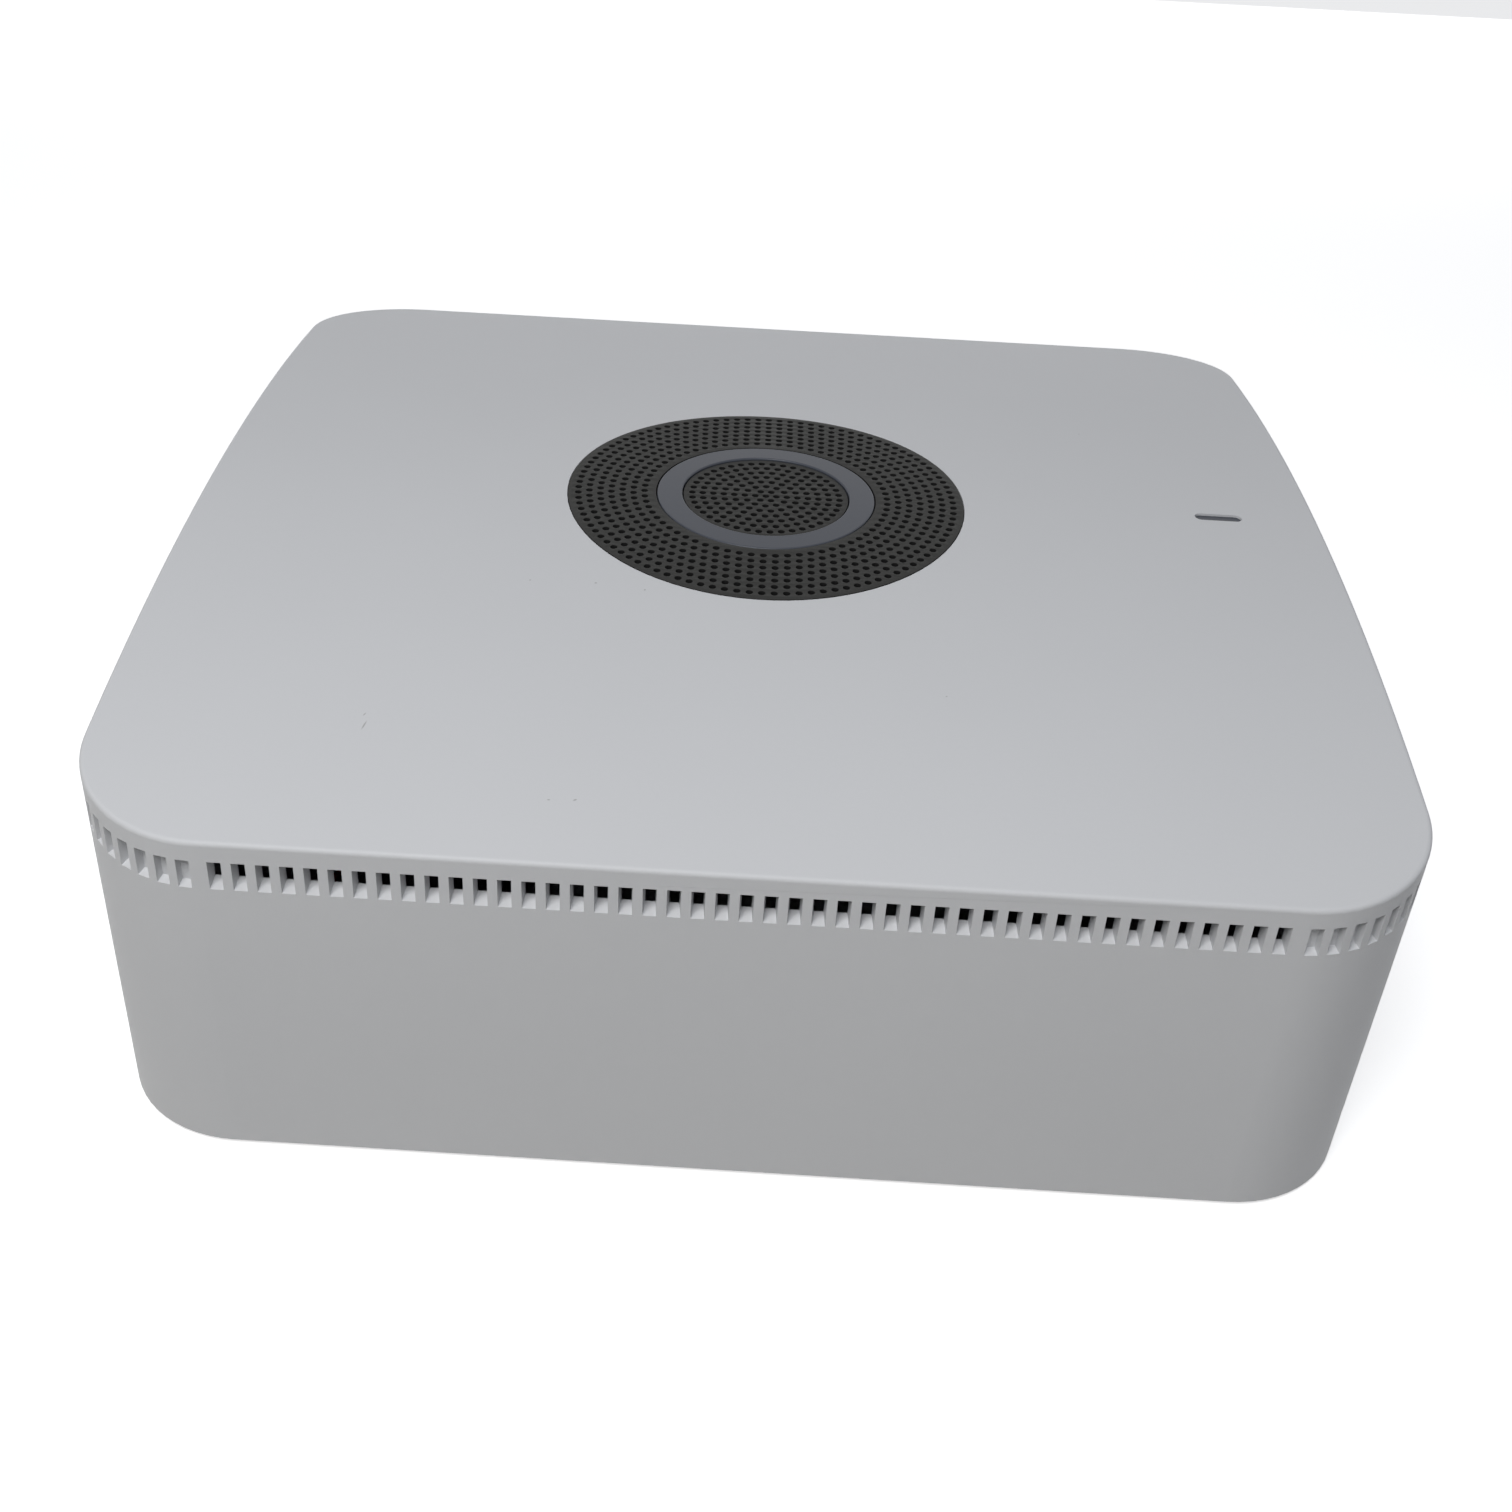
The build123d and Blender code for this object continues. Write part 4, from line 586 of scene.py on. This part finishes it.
magnet_steel = plated("magnet_steel", (0.30, 0.30, 0.31), roughness=0.45, depth=6 * MICRON)
cone_paper = pressed_pulp()
dress(frame_black, "speaker_basket", "ring_carrier")
dress(magnet_steel, "speaker_magnet")
dress(cone_paper, "speaker_cone", "speaker_spider")
dress(contact_gold, "voice_coil")


# The light ring is a smoke-grey diffuser with a satin top, lit from below by small lights through a white
# reflector. The status light in the slot near the right-hand edge is of the same smoke grey.

SMOKE = (0.054, 0.060, 0.076)
SMOKE_SPECK = (0.05, 0.05, 0.06)
light_diffuser, _, diffuser_shader, _ = moulded("light_diffuser", SMOKE, roughness=0.36, grain=3200.0,
                                                depth=3 * MICRON, marks=0.5, speck=SMOKE_SPECK)
diffuser_shader["Specular IOR Level"].default_value = 0.3
reflector_white = moulded("reflector_white", (0.78, 0.78, 0.77),
                          roughness=0.35, grain=2600.0, depth=4 * MICRON, marks=0.2)[0]
dress(light_diffuser, "light_ring", "status_light_pipe")
dress(reflector_white, "ring_reflector")
dress(led_clear, "ring_leds", "status_leds")


# The grille is two perforated plates, a wide annulus and a small disc, that lie on one seat in the recess
# of the top and follow its crown. They are dark grey, and the walls of their holes, which face sideways, are
# painted near black as painted shade in the holes. The rims of the holes are slightly rounded.

CROWN_RADIUS = 603.8 * MM
HOLE_RADIUS = 0.65 * MM
RIM_ROUND = 0.06 * MM
ANNULUS_THICKNESS = 2.4 * MM
ANNULUS_RING_PITCH = 2.085 * MM
ANNULUS_RINGS = 7
ANNULUS_FIRST_RADIUS = 23.05 * MM
ANNULUS_FIRST_COUNT = 66
ANNULUS_INNER = 20.85 * MM
DISC_THICKNESS = 2.1 * MM
DISC_RING_PITCH = 2.0 * MM
DISC_RINGS = 7
HOLES_ADDED = 6
HOLE_STEPS = 4
OUTER_STEPS = 30
INNER_STEPS = 24
PLATE_MERGE_DISTANCE = 0.002 * MM
CROWN_SMOOTH_ANGLE = math.radians(50)
QUARTER_HANDLE = 4 / 3 * math.tan(math.pi / 8)


def ring_of_places(radius, count, start=0.0):
    turns = [start + 2 * math.pi * i / count for i in range(count)]
    return [(radius * math.cos(turn), radius * math.sin(turn)) for turn in turns]


def fall(y):
    """How far the crowned top lies below its middle at y."""
    return CROWN_RADIUS - math.sqrt(CROWN_RADIUS ** 2 - y ** 2)


def add_circle(outline, x, y, radius, steps):
    """A round spline of four points, with that many steps between two of them."""
    spline = outline.splines.new("BEZIER")
    spline.bezier_points.add(3)
    spline.use_cyclic_u = True
    spline.resolution_u = steps
    reach = radius * QUARTER_HANDLE
    for i, point in enumerate(spline.bezier_points):
        out = Vector((math.cos(i * math.pi / 2), math.sin(i * math.pi / 2), 0))
        along = Vector((-out.y, out.x, 0))
        point.co = Vector((x, y, 0)) + out * radius
        point.handle_left = point.co - along * reach
        point.handle_right = point.co + along * reach


def perforated_plate(name, outer, inner, holes, top, thickness):
    """A plate with round holes and rounded rims. Its upper face follows the crown, from top in the middle."""
    outline = bpy.data.curves.new(name, "CURVE")
    outline.dimensions = "2D"
    outline.fill_mode = "BOTH"
    outline.extrude = thickness / 2 - RIM_ROUND
    outline.bevel_depth = RIM_ROUND
    outline.bevel_resolution = 1
    outline.offset = -RIM_ROUND
    add_circle(outline, 0.0, 0.0, outer, OUTER_STEPS)
    if inner:
        add_circle(outline, 0.0, 0.0, inner, INNER_STEPS)
    for x, y in holes:
        add_circle(outline, x, y, HOLE_RADIUS, HOLE_STEPS)
    flat = bpy.data.objects.new(name, outline)
    bpy.context.scene.collection.objects.link(flat)
    select_only(flat)
    bpy.ops.object.convert(target="MESH")
    plate = bpy.context.active_object
    for corner in plate.data.vertices:
        corner.co.z += top - thickness / 2 - fall(corner.co.y)
    bpy.ops.object.mode_set(mode="EDIT")
    bpy.ops.mesh.select_all(action="SELECT")
    bpy.ops.mesh.remove_doubles(threshold=PLATE_MERGE_DISTANCE)
    bpy.ops.mesh.normals_make_consistent(inside=False)
    bpy.ops.object.mode_set(mode="OBJECT")
    bpy.ops.object.shade_smooth_by_angle(angle=CROWN_SMOOTH_ANGLE)
    return plate


GRILLE_GREY = (0.036, 0.036, 0.0345)
GRILLE_HOLE_SHADE = (0.010, 0.010, 0.010)
GRILLE_SPECK = (0.02, 0.02, 0.02)


def grille_with_hole_shade():
    """Dark grey plate with painted shade: what faces sideways, the walls of the holes, is painted near black.
    """
    material, tree, shader, face_grey = moulded("grille_grey", GRILLE_GREY, roughness=0.58, grain=2600.0,
                                              depth=8 * MICRON, marks=0.6, speck=GRILLE_SPECK)
    shader["Specular IOR Level"].default_value = 0.13
    # Painted shade: faces that turn away from up, the walls of the holes, take the near-black colour instead
    # of the grey.
    facing = node(tree, "SeparateXYZ", {"Vector": node(tree, "TexCoord").outputs["Normal"]}).outputs["Z"]
    colour_share = node(tree, "MapRange", {"Value": facing, "From Min": 0.2, "From Max": 0.75}).outputs[0]
    tree.links.new(blend_colours(tree, colour_share, GRILLE_HOLE_SHADE, face_grey), shader["Base Color"])
    return material


annulus_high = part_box("grille_outer")[1]
disc_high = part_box("grille_centre")[1]
annulus_holes = []
for i in range(ANNULUS_RINGS):
    annulus_holes += ring_of_places(ANNULUS_FIRST_RADIUS + i * ANNULUS_RING_PITCH,
                                    ANNULUS_FIRST_COUNT + HOLES_ADDED * i, math.pi / 2)
disc_holes = [(0.0, 0.0)]
for i in range(1, DISC_RINGS + 1):
    disc_holes += ring_of_places(i * DISC_RING_PITCH, HOLES_ADDED * i)
grille_annulus = perforated_plate("grille_annulus", annulus_high.x, ANNULUS_INNER, annulus_holes,
                                  annulus_high.z, ANNULUS_THICKNESS)
grille_disc = perforated_plate("grille_disc", disc_high.x, 0.0, disc_holes, disc_high.z, DISC_THICKNESS)
grille_grey = grille_with_hole_shade()
for plate, cad_name in ((grille_annulus, "grille_outer"), (grille_disc, "grille_centre")):
    plate.data.materials.append(grille_grey)
    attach(plate, "housing")
    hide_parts(cad_name)


# Black acoustic cloth is stretched behind both plates, to keep dust out of the speaker. It is a fine
# plain weave, cut as an annulus and a disc and glued to the plates at their edges.

CLOTH_THICKNESS = 0.25 * MM
CLOTH_GAP = 0.02 * MM
CLOTH_OUTER = 36.25 * MM
CLOTH_INNER = 22.15 * MM
CLOTH_DISC = 14.35 * MM
CLOTH_TURNS = 96
CLOTH_ROUNDS = 6
CLOTH_DARK = (0.004, 0.004, 0.004)
CLOTH_LIGHT = (0.020, 0.020, 0.020)
THREAD_DEPTH = 100 * MICRON


def plain_weave():
    """Plain weave: warp and weft threads that pass over and under each other."""
    tree, entry, leave = effect("Plain weave", {"Threads per metre": 2500.0}, ("Height",))
    place = node(tree, "TexCoord").outputs["Object"]
    split = node(tree, "SeparateXYZ", {"Vector": place})
    waves = []
    for axis in ("X", "Y"):
        along = math_node(tree, "MULTIPLY", split.outputs[axis], entry["Threads per metre"])
        swing = math_node(tree, "SINE", math_node(tree, "MULTIPLY", along, math.pi), 0.0)
        waves.append(math_node(tree, "ABSOLUTE", swing, 0.0))
    tree.links.new(math_node(tree, "MULTIPLY", waves[0], waves[1]), leave["Height"])
    return tree


def stretched_cloth(name, outer, inner, top):
    """A ring or a disc of cloth that follows the crown, with its upper face at top in the middle."""
    rounds = [inner + (outer - inner) * i / CLOTH_ROUNDS for i in range(CLOTH_ROUNDS + 1)]
    nothing_selected()
    bpy.ops.mesh.primitive_circle_add(vertices=CLOTH_TURNS, radius=rounds[-1], fill_type="NOTHING")
    cloth = bpy.context.active_object
    bpy.ops.object.mode_set(mode="EDIT")
    bpy.ops.mesh.select_all(action="SELECT")
    for wider, narrower in zip(rounds[:0:-1], rounds[-2::-1]):
        if narrower > 0:
            bpy.ops.mesh.extrude_edges_move()
            bpy.ops.transform.resize(value=(narrower / wider, narrower / wider, 1.0))
        else:
            bpy.ops.mesh.edge_face_add()
            bpy.ops.mesh.poke()
    bpy.ops.mesh.select_all(action="SELECT")
    bpy.ops.mesh.normals_make_consistent(inside=False)
    bpy.ops.object.mode_set(mode="OBJECT")
    for corner in cloth.data.vertices:
        corner.co.z = top - fall(corner.co.y)
    if sum(face.normal.z for face in cloth.data.polygons) < 0:
        cloth.data.flip_normals()
    thick = cloth.modifiers.new("thick", "SOLIDIFY")
    thick.thickness = CLOTH_THICKNESS
    thick.offset = -1.0
    bpy.ops.object.modifier_apply(modifier="thick")
    bpy.ops.object.shade_smooth_by_angle(angle=CROWN_SMOOTH_ANGLE)
    cloth.name = name
    cloth.data.name = name
    return cloth


WEAVE = plain_weave()
cloth_black, cloth_tree, cloth_shader = finish("cloth_black", (0.012, 0.012, 0.012), roughness=0.9)
cloth_shader["Sheen Weight"].default_value = 0.2
woven = use(cloth_tree, WEAVE)
threads = blend_colours(cloth_tree, woven["Height"], CLOTH_DARK, CLOTH_LIGHT)
cloth_tree.links.new(threads, cloth_shader["Base Color"])
roughen(cloth_tree, cloth_shader, woven["Height"], THREAD_DEPTH)
cloth_top = annulus_high.z - ANNULUS_THICKNESS - CLOTH_GAP
for name, outer, inner in (("grille_cloth_annulus", CLOTH_OUTER, CLOTH_INNER),
                           ("grille_cloth_disc", CLOTH_DISC, 0.0)):
    cloth = stretched_cloth(name, outer, inner, cloth_top)
    cloth.data.materials.append(cloth_black)
    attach(cloth, "housing")
    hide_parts("grille_cloth")


# The housing is one matt white moulding with a crowned top, a row of vents under the top edge and the
# same eroded grain. This one has been handled: it has a few small scuffs on its top.

WHITE = (0.655, 0.663, 0.678)
SCUFF = (0.20, 0.19, 0.18)
SCUFF_CORE = 0.4
SCUFF_COVER = 0.55
SCUFF_REACH_DOWN = 1000.0
SCUFFS = (                 # place on the top, half length and half width in mm, then the turn
    (-61.9, -77.6, 1.3, 0.16, 1.35), (-62.3, -75.0, 0.5, 0.12, 1.1), (-29.1, -35.3, 0.30, 0.22, 0.2),
    (-20.4, -36.6, 0.26, 0.22, 0.9), (-27.0, -91.5, 0.40, 0.20, 0.5), (-31.0, -91.8, 0.30, 0.16, 0.0),
    (-40.6, -35.6, 0.22, 0.18, 0.4), (31.0, -62.0, 0.20, 0.16, 0.0), (64.0, 38.0, 0.22, 0.18, 0.7))
housing_white, housing_tree, housing_shader, housing_tone = moulded(
    "housing_white", WHITE, roughness=0.52, grain=2200.0, depth=12 * MICRON, marks=0.6)
housing_shader["Specular IOR Level"].default_value = 0.3
place = node(housing_tree, "TexCoord").outputs["Object"]
scuffed = 0.0
for x, y, half_length, half_width, turn in SCUFFS:
    lying = node(housing_tree, "Mapping", {"Vector": place, "Location": (x * MM, y * MM, 0.0),
                                           "Rotation": (0.0, 0.0, turn),
                                           "Scale": (half_length * MM, half_width * MM, SCUFF_REACH_DOWN)},
                 vector_type="TEXTURE")
    far = node(housing_tree, "VectorMath", {0: lying.outputs[0]}, operation="LENGTH").outputs["Value"]
    mark = node(housing_tree, "MapRange", {"Value": far, "From Min": 1.0, "From Max": SCUFF_CORE,
                                           "To Max": SCUFF_COVER})
    scuffed = math_node(housing_tree, "MAXIMUM", scuffed, mark.outputs[0])
marked = blend_colours(housing_tree, scuffed, housing_tone, SCUFF)
housing_tree.links.new(marked, housing_shader["Base Color"])
dress(housing_white, "top_cover")


# The floor is pale paper, and the studio light is soft. The key light stands to the left in front of the
# base station and above it, and a low, wide one lifts the shade behind it. The camera stands where the
# photographer stood.

FLOOR_SIZE = 40.0
PAPER_GLOW = 0.62
PAPER = (0.410, 0.395, 0.362, 1)
PAPER_SHOWN = (0.88, 0.88, 0.88, 1)


def seen_directly(tree):
    """A mask of the rays that show a thing as it is: from the camera, off a gloss or through glass."""
    path = node(tree, "LightPath").outputs
    seen = math_node(tree, "MAXIMUM", path["Is Camera Ray"], path["Is Glossy Ray"])
    return math_node(tree, "MAXIMUM", seen, path["Is Transmission Ray"])


bpy.ops.mesh.primitive_plane_add(size=FLOOR_SIZE)
floor = bpy.context.active_object
floor.name = "floor"
paper = bpy.data.materials.new("paper")
paper.use_nodes = True
tree = paper.node_tree
tree.nodes.remove(tree.nodes["Principled BSDF"])
shown = seen_directly(tree)
true_paper = node(tree, "BsdfDiffuse", {"Color": PAPER})
shown_paper = node(tree, "BsdfDiffuse", {"Color": PAPER_SHOWN})
glow = node(tree, "Emission", {"Color": (1, 1, 1, 1), "Strength": PAPER_GLOW})
lit_paper = node(tree, "AddShader", {0: shown_paper.outputs[0], 1: glow.outputs[0]})
either = node(tree, "MixShader", {0: shown, 1: true_paper.outputs[0], 2: lit_paper.outputs[0]})
tree.links.new(either.outputs[0], tree.nodes["Material Output"].inputs["Surface"])
floor.data.materials.append(paper)

LEFT_LIGHT = (0.180, 0.180, 0.181)
RIGHT_LIGHT = (0.138, 0.151, 0.180)
SIDE_REACH = 0.7
studio = bpy.data.worlds.new("studio")
bpy.context.scene.world = studio
studio.use_nodes = True
tree = studio.node_tree
across = node(tree, "SeparateXYZ", {"Vector": node(tree, "TexCoord").outputs["Generated"]}).outputs["X"]
rightness = node(tree, "MapRange", {"Value": across, "From Min": -SIDE_REACH, "From Max": SIDE_REACH})
room = tree.nodes["Background"]
side_light = blend_colours(tree, rightness.outputs[0], LEFT_LIGHT, RIGHT_LIGHT)
tree.links.new(side_light, room.inputs["Color"])
room.inputs["Strength"].default_value = 1.0
white_room = node(tree, "Background", {"Color": (1, 1, 1, 1), "Strength": 1.0})
either = node(tree, "MixShader", {0: seen_directly(tree), 1: room.outputs[0], 2: white_room.outputs[0]})
tree.links.new(either.outputs[0], tree.nodes["World Output"].inputs["Surface"])

KEY_PLACE = Vector((-0.14, -0.43, 0.66))
KEY_WIDTH = 0.40
KEY_POWER = 3.68
FILL_PLACE = Vector((0.05, 0.75, 0.06))
FILL_TURN = (math.radians(-90), 0.0, 0.0)
FILL_WIDTH = 1.1
FILL_HEIGHT = 0.1
FILL_POWER = 1.7


def soft_lamp(name, shape, place, power):
    """A soft studio lamp, for its size and turn to be set."""
    light = bpy.data.lights.new(name, "AREA")
    light.shape = shape
    light.energy = power
    lamp = bpy.data.objects.new(name, light)
    lamp.location = place
    bpy.context.scene.collection.objects.link(lamp)
    return lamp


key = soft_lamp("key", "DISK", KEY_PLACE, KEY_POWER)
key.data.size = KEY_WIDTH
key.rotation_euler = (-KEY_PLACE).to_track_quat("-Z", "Y").to_euler()
fill = soft_lamp("fill", "RECTANGLE", FILL_PLACE, FILL_POWER)
fill.data.size = FILL_WIDTH
fill.data.size_y = FILL_HEIGHT
fill.rotation_euler = FILL_TURN
fill.visible_camera = False
fill.visible_glossy = False

CAMERA_PLACE = (-3.5704 * MM, -323.1967 * MM, 237.1169 * MM)
CAMERA_TURN = (math.radians(55.1079), math.radians(-2.3167), math.radians(2.6522))
SENSOR_WIDTH = 36.0
FOCAL_LENGTH = 44.985
SIDE_SHIFT = 0.0348
NEAREST_SEEN = 10.0 * MM
camera_data = bpy.data.cameras.new("camera")
camera_data.sensor_width = SENSOR_WIDTH
camera_data.lens = FOCAL_LENGTH
camera_data.shift_x = SIDE_SHIFT
camera_data.clip_start = NEAREST_SEEN
camera = bpy.data.objects.new("camera", camera_data)
camera.location = CAMERA_PLACE
camera.rotation_euler = CAMERA_TURN
bpy.context.scene.collection.objects.link(camera)
bpy.context.scene.camera = camera
bpy.context.scene.view_settings.view_transform = "Standard"
